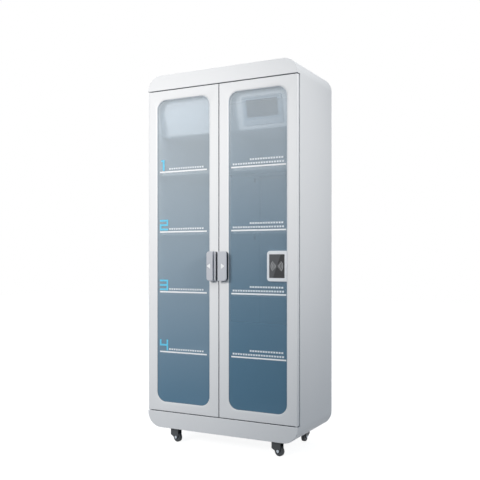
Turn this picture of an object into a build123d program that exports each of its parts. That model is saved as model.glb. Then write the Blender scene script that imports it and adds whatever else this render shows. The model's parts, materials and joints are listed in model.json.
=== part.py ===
from build123d import *
from math import atan2, ceil, cos, radians, sin
import os

# Two-door reagent storage cabinet on casters. Millimetres, +Z up, the doors face -Y.
# The origin is on the floor, under the middle of the whole cabinet, handles included.

os.makedirs("parts", exist_ok=True)

# Overall sizes
CABINET_WIDTH = 850.0
CABINET_DEPTH = 450.0
CABINET_HEIGHT = 1900.0
CASTER_HEIGHT = 75.0
CORNER_RADIUS = 76.0
HEADER_HEIGHT = 78.0
BASE_HEIGHT = 83.0
HANDLE_REACH = 27.0
INLET_FLANGE = 3.0

# Sheet and clearances
SHELL_SHEET = 2.0
LINER_SHEET = 1.5
EDGE_ROUND = 2.5
PANEL_EDGE_ROUND = 1.5
SEAT_GAP = 0.3
SLIDE_GAP = 0.5
RUNNING_CLEARANCE = 0.05
DOOR_GAP = 4.0
BODY_GAP = 3.0

# Doors
DOOR_THICKNESS = 25.0
DOOR_SHEET = 1.5
HINGE_EDGE_RADIUS = 10.0
WINDOW_MEETING_STILE = 52.5
WINDOW_HINGE_STILE = 56.2
WINDOW_TOP_RAIL = 47.6
WINDOW_BOTTOM_RAIL = 47.3
WINDOW_RADIUS = 50.0
WINDOW_BEVEL_WIDTH = 8.0
WINDOW_BEVEL_DEPTH = 2.5
WINDOW_RIM = 10.0
RIM_DEPTH = 5.0
PANE_THICKNESS = 5.0
PANE_OVERLAP = 10.0
GASKET_LIP = 0.5
GASKET_EDGE = 3.0
GASKET_REVEAL = 2.0
SEAL_WIDTH = 8.0
SEAL_INSET = 5.0

# Door pivots
PIN_DIAMETER = 8.0
PIN_ENGAGEMENT = 12.0
PIN_HEAD_DIAMETER = 12.0
PIN_HEAD_HEIGHT = 3.0
COLLAR_DIAMETER = 13.0
BUSH_DIAMETER = 14.0
BUSH_LENGTH = 14.0
PIVOT_INSET = DOOR_THICKNESS / 2

# Inside
INNER_WIDTH = 770.0
FLANGE_REAR = 20.0
BACK_PANEL_OVERLAP = 10.0
INNER_DEPTH = 430.0
FLOOR_HEIGHT = 190.0
CEILING_DROP = 88.0
TOP_RAIL_DROP = 126.0
DIVIDER_WIDTH = 30.0
SHELF_COUNT = 4
SHELF_FIRST = 473.0
SHELF_PITCH = 310.0
SHELF_SETBACK = 7.0
SHELF_LIP = 20.0
CLIP_REACH = 12.0
CLIP_LENGTH = 25.0
CLIP_HEIGHT = 20.0
CLIP_END_INSET = 50.0

# Hood, filter and fan
HOOD_HEIGHT = 186.0
HOOD_TOP_SETBACK = 11.0
HOOD_SLOPE_RUN = 35.8
HOOD_STEP = 32.0
HOOD_ROUND = 12.0
FILTER_WIDTH = 300.0
FILTER_DEPTH = 200.0
FILTER_HEIGHT = 40.0
FILTER_X = -200.0
FILTER_FRAME = 8.0
INTAKE_SLOT_LENGTH = 80.0
INTAKE_SLOT_WIDTH = 6.0
INTAKE_SLOT_PITCH = 16.0
INTAKE_COLUMNS = 3
INTAKE_ROWS = 8
FAN_SIZE = 120.0
FAN_THICKNESS = 38.0
FAN_BORE = 112.0
FAN_TIP_GAP = 2.0
FAN_HUB_DIAMETER = 44.0
FAN_HUB_LENGTH = 22.0
FAN_SHAFT_DIAMETER = 6.0
FAN_BLADE_COUNT = 7
FAN_BLADE_CHORD = 30.0
FAN_BLADE_THICKNESS = 1.6
FAN_BLADE_PITCH = 35.0
FAN_HEIGHT_ABOVE_FILTER = 68.0
FAN_STATOR_LENGTH = 8.0
FAN_STRUT_WIDTH = 5.0
FAN_BLADE_EDGE_ROUND = 0.7
SPIGOT_WALL = 2.0
GRILLE_SIZE = 150.0
GRILLE_SLOT_WIDTH = 5.0
GRILLE_SLOT_PITCH = 11.0

# Display on the hood
DISPLAY_WIDTH = 214.0
DISPLAY_HEIGHT = 139.0
DISPLAY_X = 214.0
DISPLAY_BELOW_HOOD_TOP = 27.0
DISPLAY_THICKNESS = 6.0
DISPLAY_ROUND = 8.0
SCREEN_WIDTH = 193.0
SCREEN_HEIGHT = 108.0
SCREEN_BELOW_COVER_TOP = 6.0
SCREEN_THICKNESS = 3.0
SCREEN_RECESS = 1.0

# Handles
HANDLE_HEIGHT = 146.0
HANDLE_CENTRE_Z = 913.0
HANDLE_OUTER = 56.0
HANDLE_INNER_LEFT = 10.0
HANDLE_INNER_RIGHT = 8.0
HANDLE_STEP_WIDTH = 12.0
HANDLE_STEP_DEPTH = 13.0
HANDLE_ROUND = 15.0
HANDLE_PLATE = 8.0
HANDLE_PLATE_EDGE = 1.5
HANDLE_BASE_INSET = 2.0
FINGER_RECESS_DEPTH = 20.0
FINGER_RECESS_HEIGHT = 110.0
FINGER_RECESS_WIDTH = 13.0
ARROW_DISH_DIAMETER = 31.0
ARROW_DISH_DEPTH = 0.8

# Card reader on the right pane
READER_WIDTH = 103.0
READER_HEIGHT = 146.0
READER_CENTRE_Z = 914.0
READER_ROUND = 16.0
READER_PROUD = 1.0
READER_WINDOW_WIDTH = 80.5
READER_WINDOW_HEIGHT = 113.4
READER_WINDOW_INSET = 11.7
READER_WINDOW_THICKNESS = 2.5
READER_WINDOW_ROUND = 3.0
READER_EDGE_ROUND = 1.2
READER_WINDOW_RECESS = 0.4

# Door locks
LOCK_WIDTH = 50.0
LOCK_HEIGHT = 34.0
LOCK_DEPTH = 26.0
LOCK_INNER_X = 16.0
STRIKE_HEIGHT = 26.0
STRIKE_THICKNESS = 2.6

# Casters
CASTER_FRONT_X = 290.0
CASTER_REAR_X = 310.0
CASTER_FRONT_INSET = 50.0
CASTER_REAR_INSET = 70.0
CASTER_TRAIL = 22.0
WHEEL_DIAMETER = 50.0
WHEEL_WIDTH = 20.0
AXLE_DIAMETER = 8.0
AXLE_HEAD_DIAMETER = 14.0
AXLE_HEAD_HEIGHT = 2.0
FORK_SHEET = 2.5
FORK_GAP = 1.0
FORK_TOP_DIAMETER = 46.0
FORK_FOOT_RADIUS = 9.0
FORK_CHEEK_LEADING = 18.0
FORK_CHEEK_TRAILING = 36.0
FORK_CHEEK_HEIGHT = 30.0
FORK_TOP_THICKNESS = 7.7
CASTER_PLATE_WIDTH = 60.0
CASTER_PLATE_DEPTH = 50.0
CASTER_PLATE_SHEET = 2.5
KINGPIN_DIAMETER = 10.0
KINGPIN_HEAD_DIAMETER = 16.0
KINGPIN_HEAD_HEIGHT = 3.0

# Power inlet and screws
INLET_X = -330.0
INLET_WIDTH = 48.0
INLET_HEIGHT = 28.0
INLET_BODY_WIDTH = 30.0
INLET_BODY_HEIGHT = 22.0
INLET_BODY_DEPTH = 20.0
INLET_POCKET_WALL = 2.5
INLET_FLOOR = 4.0
CONTACT_WIDTH = 2.0
CONTACT_HEIGHT = 4.0
CONTACT_SPACING = 7.0
SCREW_DIAMETER = 4.0
SCREW_HEAD_DIAMETER = 8.0
SCREW_HEAD_HEIGHT = 2.2
SCREW_LENGTH = 6.0
SCREW_EDGE = 12.0
SCREW_PITCH_LIMIT = 340.0

# Places worked out from the sizes above
FRONT = -(CABINET_DEPTH + HANDLE_REACH + INLET_FLANGE) / 2 + HANDLE_REACH
BACK = FRONT + CABINET_DEPTH
BODY_FACE = FRONT + DOOR_THICKNESS + BODY_GAP
FRAME_REAR = BODY_FACE + SHELL_SHEET
LINER_BACK = FRONT + INNER_DEPTH
BODY_MIDDLE_Z = (CASTER_HEIGHT + CABINET_HEIGHT) / 2
HEADER_Z = CABINET_HEIGHT - HEADER_HEIGHT
BASE_Z = CASTER_HEIGHT + BASE_HEIGHT
DOOR_TOP = HEADER_Z - DOOR_GAP
DOOR_BOTTOM = BASE_Z + DOOR_GAP
DOOR_HEIGHT = DOOR_TOP - DOOR_BOTTOM
DOOR_INNER_X = DOOR_GAP / 2
DOOR_OUTER_X = CABINET_WIDTH / 2
PIVOT_X = DOOR_OUTER_X - PIVOT_INSET
PIVOT_Y = FRONT + PIVOT_INSET
WINDOW_X0 = DOOR_INNER_X + WINDOW_MEETING_STILE
WINDOW_X1 = DOOR_OUTER_X - WINDOW_HINGE_STILE
WINDOW_Z0 = DOOR_BOTTOM + WINDOW_BOTTOM_RAIL
WINDOW_Z1 = DOOR_TOP - WINDOW_TOP_RAIL
GASKET_DEPTH = PANE_THICKNESS + 2 * GASKET_LIP
PANE_FACE = FRONT + RIM_DEPTH + GASKET_LIP
CEILING_Z = CABINET_HEIGHT - CEILING_DROP
TOP_RAIL_Z = CABINET_HEIGHT - TOP_RAIL_DROP
HOOD_BOTTOM_Z = TOP_RAIL_Z - HOOD_HEIGHT
HOOD_TOP_Y = BODY_FACE + HOOD_TOP_SETBACK
HOOD_BOTTOM_Y = HOOD_TOP_Y + HOOD_SLOPE_RUN
HOOD_STEP_Y = BODY_FACE + HOOD_STEP
HOOD_TILT = atan2(HOOD_SLOPE_RUN, HOOD_HEIGHT)
SHELF_TOPS = [SHELF_FIRST + i * SHELF_PITCH for i in range(SHELF_COUNT)]
SHELF_FRONT = BODY_FACE + SHELF_SETBACK
FAN_X = FILTER_X
FAN_Z = HOOD_BOTTOM_Z + LINER_SHEET + FILTER_HEIGHT + FAN_HEIGHT_ABOVE_FILTER
INLET_Z = CABINET_HEIGHT - HEADER_HEIGHT / 2
SIDES = {"left": -1, "right": 1}
CASTERS = {
    "front_left": (-CASTER_FRONT_X, FRONT + CASTER_FRONT_INSET, -15),
    "front_right": (CASTER_FRONT_X, FRONT + CASTER_FRONT_INSET, -15),
    "rear_left": (-CASTER_REAR_X, BACK - CASTER_REAR_INSET, 165),
    "rear_right": (CASTER_REAR_X, BACK - CASTER_REAR_INSET, -90),
}


def save(part, label):
    part.label = label
    export_step(part, f"parts/{label}.step")


def facing_front(y):
    """Upright plane at y. Sketch x is +X, sketch y is +Z, and a negative extrusion goes back."""
    return Plane(origin=(0, y, 0), x_dir=(1, 0, 0), z_dir=(0, -1, 0))


def body_outline(inset=0):
    """Front outline of the cabinet body, a rounded rectangle."""
    with Locations((0, BODY_MIDDLE_Z)):
        RectangleRounded(
            CABINET_WIDTH - 2 * inset,
            CABINET_HEIGHT - CASTER_HEIGHT - 2 * inset,
            CORNER_RADIUS - inset,
        )


def keep_band(z0, z1):
    """Keep only what lies between two heights of the sketch."""
    with Locations((0, (z0 + z1) / 2)):
        Rectangle(CABINET_WIDTH, z1 - z0, mode=Mode.INTERSECT)


def block(x0, x1, y0, y1, z0, z1, mode=Mode.ADD):
    """Box given by its limits."""
    with Locations(((x0 + x1) / 2, (y0 + y1) / 2, (z0 + z1) / 2)):
        Box(abs(x1 - x0), abs(y1 - y0), abs(z1 - z0), mode=mode)


def window_outline(side, grow=0):
    """Rounded outline of a door window, grown by the given margin."""
    with Locations((side * (WINDOW_X0 + WINDOW_X1) / 2, (WINDOW_Z0 + WINDOW_Z1) / 2)):
        RectangleRounded(
            WINDOW_X1 - WINDOW_X0 + 2 * grow,
            WINDOW_Z1 - WINDOW_Z0 + 2 * grow,
            WINDOW_RADIUS + grow,
        )


def spread(start, end, limit):
    """Evenly spaced places from start to end, no further apart than the limit."""
    steps = ceil((end - start) / limit)
    return [start + (end - start) * i / steps for i in range(steps + 1)]


SCREW_SIDE_X = DOOR_OUTER_X - SCREW_EDGE
SCREW_ROWS = spread(BASE_Z + 3 * SCREW_EDGE, HEADER_Z - 3 * SCREW_EDGE, SCREW_PITCH_LIMIT)
SCREW_PLACES = [(side * SCREW_SIDE_X, z) for side in SIDES.values() for z in SCREW_ROWS]


def screw_holes(y, depth):
    """Holes for the rear case screws."""
    with BuildSketch(facing_front(y)) as holes:
        with Locations(*SCREW_PLACES):
            Circle(SCREW_DIAMETER / 2)
    extrude(holes.sketch, amount=-depth, mode=Mode.SUBTRACT)


def pin_holes(z, depth):
    """Holes for the two pivot pins in a front lip."""
    with BuildSketch(Plane.XY.offset(z)) as holes:
        with Locations((-PIVOT_X, PIVOT_Y), (PIVOT_X, PIVOT_Y)):
            Circle(PIN_DIAMETER / 2)
    extrude(holes.sketch, amount=depth, mode=Mode.SUBTRACT)


# ---------------------------------------------------------------- outer shell

with BuildPart() as top_cover:
    with BuildSketch(facing_front(FRONT)):
        body_outline()
        keep_band(HEADER_Z, CABINET_HEIGHT)
    extrude(amount=-CABINET_DEPTH)
    fillet(top_cover.faces().sort_by(Axis.Y)[0].outer_wire().edges(), EDGE_ROUND)
    with BuildSketch(facing_front(FRONT + SHELL_SHEET)):
        body_outline(SHELL_SHEET)
        keep_band(HEADER_Z + SHELL_SHEET, CABINET_HEIGHT)
    extrude(amount=-(CABINET_DEPTH - 2 * SHELL_SHEET), mode=Mode.SUBTRACT)
    block(
        -DOOR_OUTER_X + SHELL_SHEET, DOOR_OUTER_X - SHELL_SHEET,
        FRAME_REAR, BACK - SHELL_SHEET,
        HEADER_Z, HEADER_Z + SHELL_SHEET,
        mode=Mode.SUBTRACT,
    )
    pin_holes(HEADER_Z, SHELL_SHEET)
    with BuildSketch(facing_front(BACK - SHELL_SHEET)):
        with Locations((INLET_X, INLET_Z)):
            Rectangle(INLET_BODY_WIDTH + SEAT_GAP, INLET_BODY_HEIGHT + SEAT_GAP)
    extrude(amount=-SHELL_SHEET, mode=Mode.SUBTRACT)
save(top_cover.part, "top_cover")

with BuildPart() as base_cover:
    with BuildSketch(facing_front(FRONT)):
        body_outline()
        keep_band(CASTER_HEIGHT, BASE_Z)
    extrude(amount=-CABINET_DEPTH)
    fillet(base_cover.faces().sort_by(Axis.Y)[0].outer_wire().edges(), EDGE_ROUND)
    with BuildSketch(facing_front(FRONT + SHELL_SHEET)):
        body_outline(SHELL_SHEET)
        keep_band(CASTER_HEIGHT, BASE_Z - SHELL_SHEET)
    extrude(amount=-(CABINET_DEPTH - 2 * SHELL_SHEET), mode=Mode.SUBTRACT)
    block(
        -DOOR_OUTER_X + SHELL_SHEET, DOOR_OUTER_X - SHELL_SHEET,
        FRAME_REAR, BACK - SHELL_SHEET,
        BASE_Z - SHELL_SHEET, BASE_Z,
        mode=Mode.SUBTRACT,
    )
    pin_holes(BASE_Z - SHELL_SHEET, SHELL_SHEET)
save(base_cover.part, "base_cover")

for side_name, side in SIDES.items():
    with BuildPart() as side_panel:
        outer = side * DOOR_OUTER_X
        skin = side * (DOOR_OUTER_X - SHELL_SHEET)
        block(skin, outer, BODY_FACE, BACK, BASE_Z, HEADER_Z)
        block(side * INNER_WIDTH / 2, skin, BODY_FACE, FRAME_REAR, BASE_Z, HEADER_Z)
        block(
            side * (DOOR_OUTER_X - FLANGE_REAR), skin,
            BACK - SHELL_SHEET, BACK,
            BASE_Z, HEADER_Z,
        )
        screw_holes(BACK - SHELL_SHEET, SHELL_SHEET)
        front_corner = (
            side_panel.edges()
            .filter_by(Axis.Z)
            .group_by(Axis.Y)[0]
            .sort_by(Axis.X)
        )
        fillet(front_corner[-1] if side > 0 else front_corner[0], PANEL_EDGE_ROUND)
    save(side_panel.part, f"side_panel_{side_name}")

with BuildPart() as back_panel:
    block(
        -DOOR_OUTER_X + SHELL_SHEET + SLIDE_GAP, DOOR_OUTER_X - SHELL_SHEET - SLIDE_GAP,
        BACK - 2 * SHELL_SHEET, BACK - SHELL_SHEET,
        BASE_Z - BACK_PANEL_OVERLAP, HEADER_Z + BACK_PANEL_OVERLAP,
    )
    screw_holes(BACK - 2 * SHELL_SHEET, SHELL_SHEET)
    with BuildSketch(facing_front(BACK - 2 * SHELL_SHEET)):
        with Locations((FAN_X, FAN_Z)):
            Circle(FAN_BORE / 2)
    extrude(amount=-SHELL_SHEET, mode=Mode.SUBTRACT)
save(back_panel.part, "back_panel")

with BuildPart() as exhaust_grille:
    with BuildSketch(facing_front(BACK - SHELL_SHEET)):
        with Locations((FAN_X, FAN_Z)):
            RectangleRounded(GRILLE_SIZE, GRILLE_SIZE, HINGE_EDGE_RADIUS)
    extrude(amount=-SHELL_SHEET)
    slot_rows = int(FAN_BORE / GRILLE_SLOT_PITCH)
    with BuildSketch(facing_front(BACK - SHELL_SHEET)):
        with Locations((FAN_X, FAN_Z)):
            with GridLocations(0, GRILLE_SLOT_PITCH, 1, slot_rows):
                SlotOverall(FAN_BORE, GRILLE_SLOT_WIDTH)
    extrude(amount=-SHELL_SHEET, mode=Mode.SUBTRACT)
save(exhaust_grille.part, "exhaust_grille")

# ---------------------------------------------------------------- inner walls

for side_name, side in SIDES.items():
    with BuildPart() as liner_wall:
        inner = side * INNER_WIDTH / 2
        block(
            inner, inner + side * LINER_SHEET,
            FRAME_REAR, LINER_BACK,
            FLOOR_HEIGHT - LINER_SHEET, CEILING_Z + LINER_SHEET,
        )
    save(liner_wall.part, f"liner_wall_{side_name}")

with BuildPart() as liner_back:
    block(
        -INNER_WIDTH / 2 - LINER_SHEET, INNER_WIDTH / 2 + LINER_SHEET,
        LINER_BACK, LINER_BACK + LINER_SHEET,
        FLOOR_HEIGHT - LINER_SHEET, CEILING_Z + LINER_SHEET,
    )
    with BuildSketch(facing_front(LINER_BACK)):
        with Locations((FAN_X, FAN_Z)):
            Circle(FAN_BORE / 2 + SPIGOT_WALL + SEAT_GAP)
    extrude(amount=-LINER_SHEET, mode=Mode.SUBTRACT)
save(liner_back.part, "liner_back")

with BuildPart() as liner_floor:
    block(
        -INNER_WIDTH / 2, INNER_WIDTH / 2,
        FRAME_REAR, LINER_BACK,
        FLOOR_HEIGHT - LINER_SHEET, FLOOR_HEIGHT,
    )
    block(-INNER_WIDTH / 2, INNER_WIDTH / 2, BODY_FACE, FRAME_REAR, BASE_Z, FLOOR_HEIGHT)
save(liner_floor.part, "liner_floor")

with BuildPart() as liner_ceiling:
    block(
        -INNER_WIDTH / 2, INNER_WIDTH / 2,
        FRAME_REAR, LINER_BACK,
        CEILING_Z, CEILING_Z + LINER_SHEET,
    )
    block(-INNER_WIDTH / 2, INNER_WIDTH / 2, BODY_FACE, FRAME_REAR, TOP_RAIL_Z, HEADER_Z)
    for side in SIDES.values():
        block(
            side * (LOCK_INNER_X - SEAT_GAP), side * (LOCK_INNER_X + LOCK_WIDTH + SEAT_GAP),
            BODY_FACE, FRAME_REAR,
            CEILING_Z - LOCK_HEIGHT - SEAT_GAP, CEILING_Z,
            mode=Mode.SUBTRACT,
        )
save(liner_ceiling.part, "liner_ceiling")

with BuildPart() as centre_divider:
    half = DIVIDER_WIDTH / 2
    block(-half, half, BODY_FACE, LINER_BACK, FLOOR_HEIGHT, HOOD_BOTTOM_Z - SEAT_GAP)
    block(
        -half + LINER_SHEET, half - LINER_SHEET,
        BODY_FACE + LINER_SHEET, LINER_BACK,
        FLOOR_HEIGHT, HOOD_BOTTOM_Z - SEAT_GAP,
        mode=Mode.SUBTRACT,
    )
    block(
        -half, half,
        BODY_FACE, BODY_FACE + LINER_SHEET,
        HOOD_BOTTOM_Z - SEAT_GAP, TOP_RAIL_Z,
    )
save(centre_divider.part, "centre_divider")

# ---------------------------------------------------------------- shelves

SHELF_X0 = DIVIDER_WIDTH / 2 + SLIDE_GAP
SHELF_X1 = INNER_WIDTH / 2 - SLIDE_GAP

for level, top_z in enumerate(SHELF_TOPS, start=1):
    for side_name, side in SIDES.items():
        with BuildPart() as shelf:
            block(
                side * SHELF_X0, side * SHELF_X1,
                SHELF_FRONT, LINER_BACK - SLIDE_GAP,
                top_z - SHELF_LIP, top_z,
            )
            top_edges = shelf.edges().group_by(Axis.Z)[-1].sort_by(Axis.Y)
            fillet(top_edges[0], LINER_SHEET)
            block(
                side * (SHELF_X0 + LINER_SHEET), side * (SHELF_X1 - LINER_SHEET),
                SHELF_FRONT + LINER_SHEET, LINER_BACK - SLIDE_GAP - LINER_SHEET,
                top_z - SHELF_LIP, top_z - LINER_SHEET,
                mode=Mode.SUBTRACT,
            )
        save(shelf.part, f"shelf_{level}_{side_name}")

with BuildPart() as shelf_clips:
    clip_walls = []
    for side in SIDES.values():
        clip_walls.append((side * INNER_WIDTH / 2, -side))
        clip_walls.append((side * DIVIDER_WIDTH / 2, side))
    clip_places = [
        SHELF_FRONT + CLIP_END_INSET,
        LINER_BACK - CLIP_END_INSET - CLIP_LENGTH,
    ]
    for top_z in SHELF_TOPS:
        under = top_z - SHELF_LIP
        for wall_x, inward in clip_walls:
            for clip_y in clip_places:
                block(
                    wall_x, wall_x + inward * CLIP_REACH,
                    clip_y, clip_y + CLIP_LENGTH,
                    under - LINER_SHEET, under,
                )
                block(
                    wall_x, wall_x + inward * LINER_SHEET,
                    clip_y, clip_y + CLIP_LENGTH,
                    under - CLIP_HEIGHT, under - LINER_SHEET,
                )
save(shelf_clips.part, "shelf_clips")

# ---------------------------------------------------------------- hood


def hood_solid(inset, reach=0):
    """Hood outline as a solid, inset for its inside and reaching past its open top and rear."""
    with BuildPart() as solid:
        slope_shift = inset / cos(HOOD_TILT)
        with BuildSketch(Plane.YZ.offset(-INNER_WIDTH / 2 + SLIDE_GAP + inset)):
            with BuildLine():
                Polyline(
                    (HOOD_STEP_Y + inset, CEILING_Z + reach),
                    (HOOD_STEP_Y + inset, TOP_RAIL_Z - inset),
                    (HOOD_TOP_Y + slope_shift, TOP_RAIL_Z - inset),
                    (HOOD_BOTTOM_Y + slope_shift, HOOD_BOTTOM_Z + inset),
                    (LINER_BACK + reach, HOOD_BOTTOM_Z + inset),
                    (LINER_BACK + reach, CEILING_Z + reach),
                    close=True,
                )
            make_face()
        extrude(amount=INNER_WIDTH - 2 * (SLIDE_GAP + inset))
        lowest = solid.faces().sort_by(Axis.Z)[0]
        front_and_ends = lowest.edges().sort_by(Axis.Y)[:-1]
        fillet(front_and_ends, HOOD_ROUND - inset)
    return solid.part


hood_outside = hood_solid(0)
hood_inside = hood_solid(LINER_SHEET, reach=1)

with BuildPart() as hood_cover:
    add(hood_outside)
    add(hood_inside, mode=Mode.SUBTRACT)
    with BuildSketch(Plane.XY.offset(HOOD_BOTTOM_Z)):
        with Locations((FILTER_X, (HOOD_BOTTOM_Y + LINER_BACK) / 2)):
            with GridLocations(
                INTAKE_SLOT_LENGTH + INTAKE_SLOT_PITCH, INTAKE_SLOT_PITCH,
                INTAKE_COLUMNS, INTAKE_ROWS,
            ):
                SlotOverall(INTAKE_SLOT_LENGTH, INTAKE_SLOT_WIDTH)
    extrude(amount=LINER_SHEET, mode=Mode.SUBTRACT)
save(hood_cover.part, "hood_cover")

with BuildPart() as carbon_filter:
    filter_y = (HOOD_BOTTOM_Y + LINER_BACK) / 2
    filter_z = HOOD_BOTTOM_Z + LINER_SHEET
    block(
        FILTER_X - FILTER_WIDTH / 2, FILTER_X + FILTER_WIDTH / 2,
        filter_y - FILTER_DEPTH / 2, filter_y + FILTER_DEPTH / 2,
        filter_z, filter_z + FILTER_HEIGHT,
    )
    fillet(carbon_filter.edges().filter_by(Axis.Z), FILTER_FRAME / 2)
    for pocket_z in (filter_z, filter_z + FILTER_HEIGHT - FILTER_FRAME / 2):
        block(
            FILTER_X - FILTER_WIDTH / 2 + FILTER_FRAME, FILTER_X + FILTER_WIDTH / 2 - FILTER_FRAME,
            filter_y - FILTER_DEPTH / 2 + FILTER_FRAME, filter_y + FILTER_DEPTH / 2 - FILTER_FRAME,
            pocket_z, pocket_z + FILTER_FRAME / 2,
            mode=Mode.SUBTRACT,
        )
save(carbon_filter.part, "carbon_filter")

# ---------------------------------------------------------------- fan

FAN_FRONT = LINER_BACK - FAN_THICKNESS
FAN_SHAFT_FRONT = LINER_BACK - FAN_STATOR_LENGTH - SEAT_GAP - FAN_HUB_LENGTH

with BuildPart() as fan_housing:
    with BuildSketch(facing_front(FAN_FRONT)):
        with Locations((FAN_X, FAN_Z)):
            RectangleRounded(FAN_SIZE, FAN_SIZE, EDGE_ROUND * 2)
            Circle(FAN_BORE / 2, mode=Mode.SUBTRACT)
    extrude(amount=-FAN_THICKNESS)
    with BuildSketch(facing_front(LINER_BACK)):
        with Locations((FAN_X, FAN_Z)):
            Circle(FAN_BORE / 2 + SPIGOT_WALL)
            Circle(FAN_BORE / 2, mode=Mode.SUBTRACT)
    extrude(amount=-(BACK - 2 * SHELL_SHEET - LINER_BACK))
    with BuildSketch(facing_front(LINER_BACK - FAN_STATOR_LENGTH)):
        with Locations((FAN_X, FAN_Z)):
            Rectangle(FAN_BORE + SPIGOT_WALL, FAN_STRUT_WIDTH)
            Rectangle(FAN_STRUT_WIDTH, FAN_BORE + SPIGOT_WALL)
            Circle(FAN_HUB_DIAMETER / 2)
    extrude(amount=-FAN_STATOR_LENGTH)
    with BuildSketch(facing_front(FAN_SHAFT_FRONT)):
        with Locations((FAN_X, FAN_Z)):
            Circle(FAN_SHAFT_DIAMETER / 2)
    extrude(amount=-(SEAT_GAP + FAN_HUB_LENGTH))
save(fan_housing.part, "fan_housing")

with BuildPart() as fan_rotor:
    with BuildSketch(facing_front(FAN_SHAFT_FRONT)):
        with Locations((FAN_X, FAN_Z)):
            Circle(FAN_HUB_DIAMETER / 2)
            Circle(FAN_SHAFT_DIAMETER / 2 + RUNNING_CLEARANCE, mode=Mode.SUBTRACT)
    extrude(amount=-FAN_HUB_LENGTH)
    blade_root = FAN_HUB_DIAMETER / 2 - FAN_BLADE_THICKNESS
    blade_length = FAN_BORE / 2 - 2 * FAN_TIP_GAP - blade_root
    blade_lean = radians(FAN_BLADE_PITCH)
    blade_middle = Vector(FAN_X, FAN_SHAFT_FRONT + FAN_HUB_LENGTH / 2, FAN_Z)
    for i in range(FAN_BLADE_COUNT):
        turn = radians(360 * i / FAN_BLADE_COUNT)
        outward = Vector(cos(turn), 0, sin(turn))
        sideways = Vector(-sin(turn), 0, cos(turn))
        chord = sideways * cos(blade_lean) + Vector(0, 1, 0) * sin(blade_lean)
        root_place = blade_middle + outward * blade_root
        with BuildSketch(Plane(origin=root_place, x_dir=chord, z_dir=outward)):
            RectangleRounded(FAN_BLADE_CHORD, FAN_BLADE_THICKNESS, FAN_BLADE_EDGE_ROUND)
        extrude(amount=blade_length)
save(fan_rotor.part, "fan_rotor")

# ---------------------------------------------------------------- display

DISPLAY_PLANE = Plane(
    origin=(
        DISPLAY_X,
        HOOD_TOP_Y + DISPLAY_BELOW_HOOD_TOP * sin(HOOD_TILT),
        TOP_RAIL_Z - DISPLAY_BELOW_HOOD_TOP * cos(HOOD_TILT),
    ),
    x_dir=(1, 0, 0),
    z_dir=(0, -cos(HOOD_TILT), -sin(HOOD_TILT)),
)
SCREEN_CENTRE_Y = -SCREEN_BELOW_COVER_TOP - SCREEN_HEIGHT / 2
SCREEN_FLOOR = DISPLAY_THICKNESS - SCREEN_RECESS - SCREEN_THICKNESS

with BuildPart() as display_cover:
    with BuildSketch(DISPLAY_PLANE):
        with Locations((0, -DISPLAY_HEIGHT / 2)):
            RectangleRounded(DISPLAY_WIDTH, DISPLAY_HEIGHT, DISPLAY_ROUND)
    extrude(amount=DISPLAY_THICKNESS)
    with BuildSketch(DISPLAY_PLANE.offset(SCREEN_FLOOR)):
        with Locations((0, SCREEN_CENTRE_Y)):
            RectangleRounded(SCREEN_WIDTH, SCREEN_HEIGHT, DISPLAY_ROUND / 2)
    extrude(amount=SCREEN_THICKNESS + SCREEN_RECESS, mode=Mode.SUBTRACT)
save(display_cover.part, "display_cover")

with BuildPart() as display_screen:
    with BuildSketch(DISPLAY_PLANE.offset(SCREEN_FLOOR)):
        with Locations((0, SCREEN_CENTRE_Y)):
            RectangleRounded(
                SCREEN_WIDTH - 2 * SEAT_GAP, SCREEN_HEIGHT - 2 * SEAT_GAP,
                DISPLAY_ROUND / 2 - SEAT_GAP,
            )
    extrude(amount=SCREEN_THICKNESS)
save(display_screen.part, "display_screen")

# ---------------------------------------------------------------- power inlet and screws

with BuildPart() as power_inlet:
    with BuildSketch(facing_front(BACK)):
        with Locations((INLET_X, INLET_Z)):
            RectangleRounded(INLET_WIDTH, INLET_HEIGHT, INLET_POCKET_WALL)
    extrude(amount=-INLET_FLANGE)
    with BuildSketch(facing_front(BACK - INLET_BODY_DEPTH)):
        with Locations((INLET_X, INLET_Z)):
            Rectangle(INLET_BODY_WIDTH, INLET_BODY_HEIGHT)
    extrude(amount=-INLET_BODY_DEPTH)
    pocket_depth = INLET_BODY_DEPTH + INLET_FLANGE - INLET_FLOOR
    with BuildSketch(facing_front(BACK + INLET_FLANGE)):
        with Locations((INLET_X, INLET_Z)):
            Rectangle(
                INLET_BODY_WIDTH - 2 * INLET_POCKET_WALL,
                INLET_BODY_HEIGHT - 2 * INLET_POCKET_WALL,
            )
    extrude(amount=pocket_depth, mode=Mode.SUBTRACT)
    with BuildSketch(facing_front(BACK + INLET_FLANGE - pocket_depth)):
        with Locations((INLET_X, INLET_Z)):
            with Locations(
                (-CONTACT_SPACING, -CONTACT_WIDTH),
                (0, CONTACT_WIDTH),
                (CONTACT_SPACING, -CONTACT_WIDTH),
            ):
                Rectangle(CONTACT_WIDTH, CONTACT_HEIGHT)
    extrude(amount=-(pocket_depth - INLET_FLANGE))
save(power_inlet.part, "power_inlet")

with BuildPart() as case_screws:
    with BuildSketch(facing_front(BACK)):
        with Locations(*SCREW_PLACES):
            Circle(SCREW_HEAD_DIAMETER / 2)
    extrude(amount=-SCREW_HEAD_HEIGHT)
    with BuildSketch(facing_front(BACK - SCREW_LENGTH)):
        with Locations(*SCREW_PLACES):
            Circle(SCREW_DIAMETER / 2)
    extrude(amount=-SCREW_LENGTH)
save(case_screws.part, "case_screws")

# ---------------------------------------------------------------- door locks and pivot pins

with BuildPart() as door_locks:
    for side in SIDES.values():
        block(
            side * LOCK_INNER_X, side * (LOCK_INNER_X + LOCK_WIDTH),
            BODY_FACE, BODY_FACE + LOCK_DEPTH,
            CEILING_Z - LOCK_HEIGHT, CEILING_Z,
        )
save(door_locks.part, "door_locks")

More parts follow.
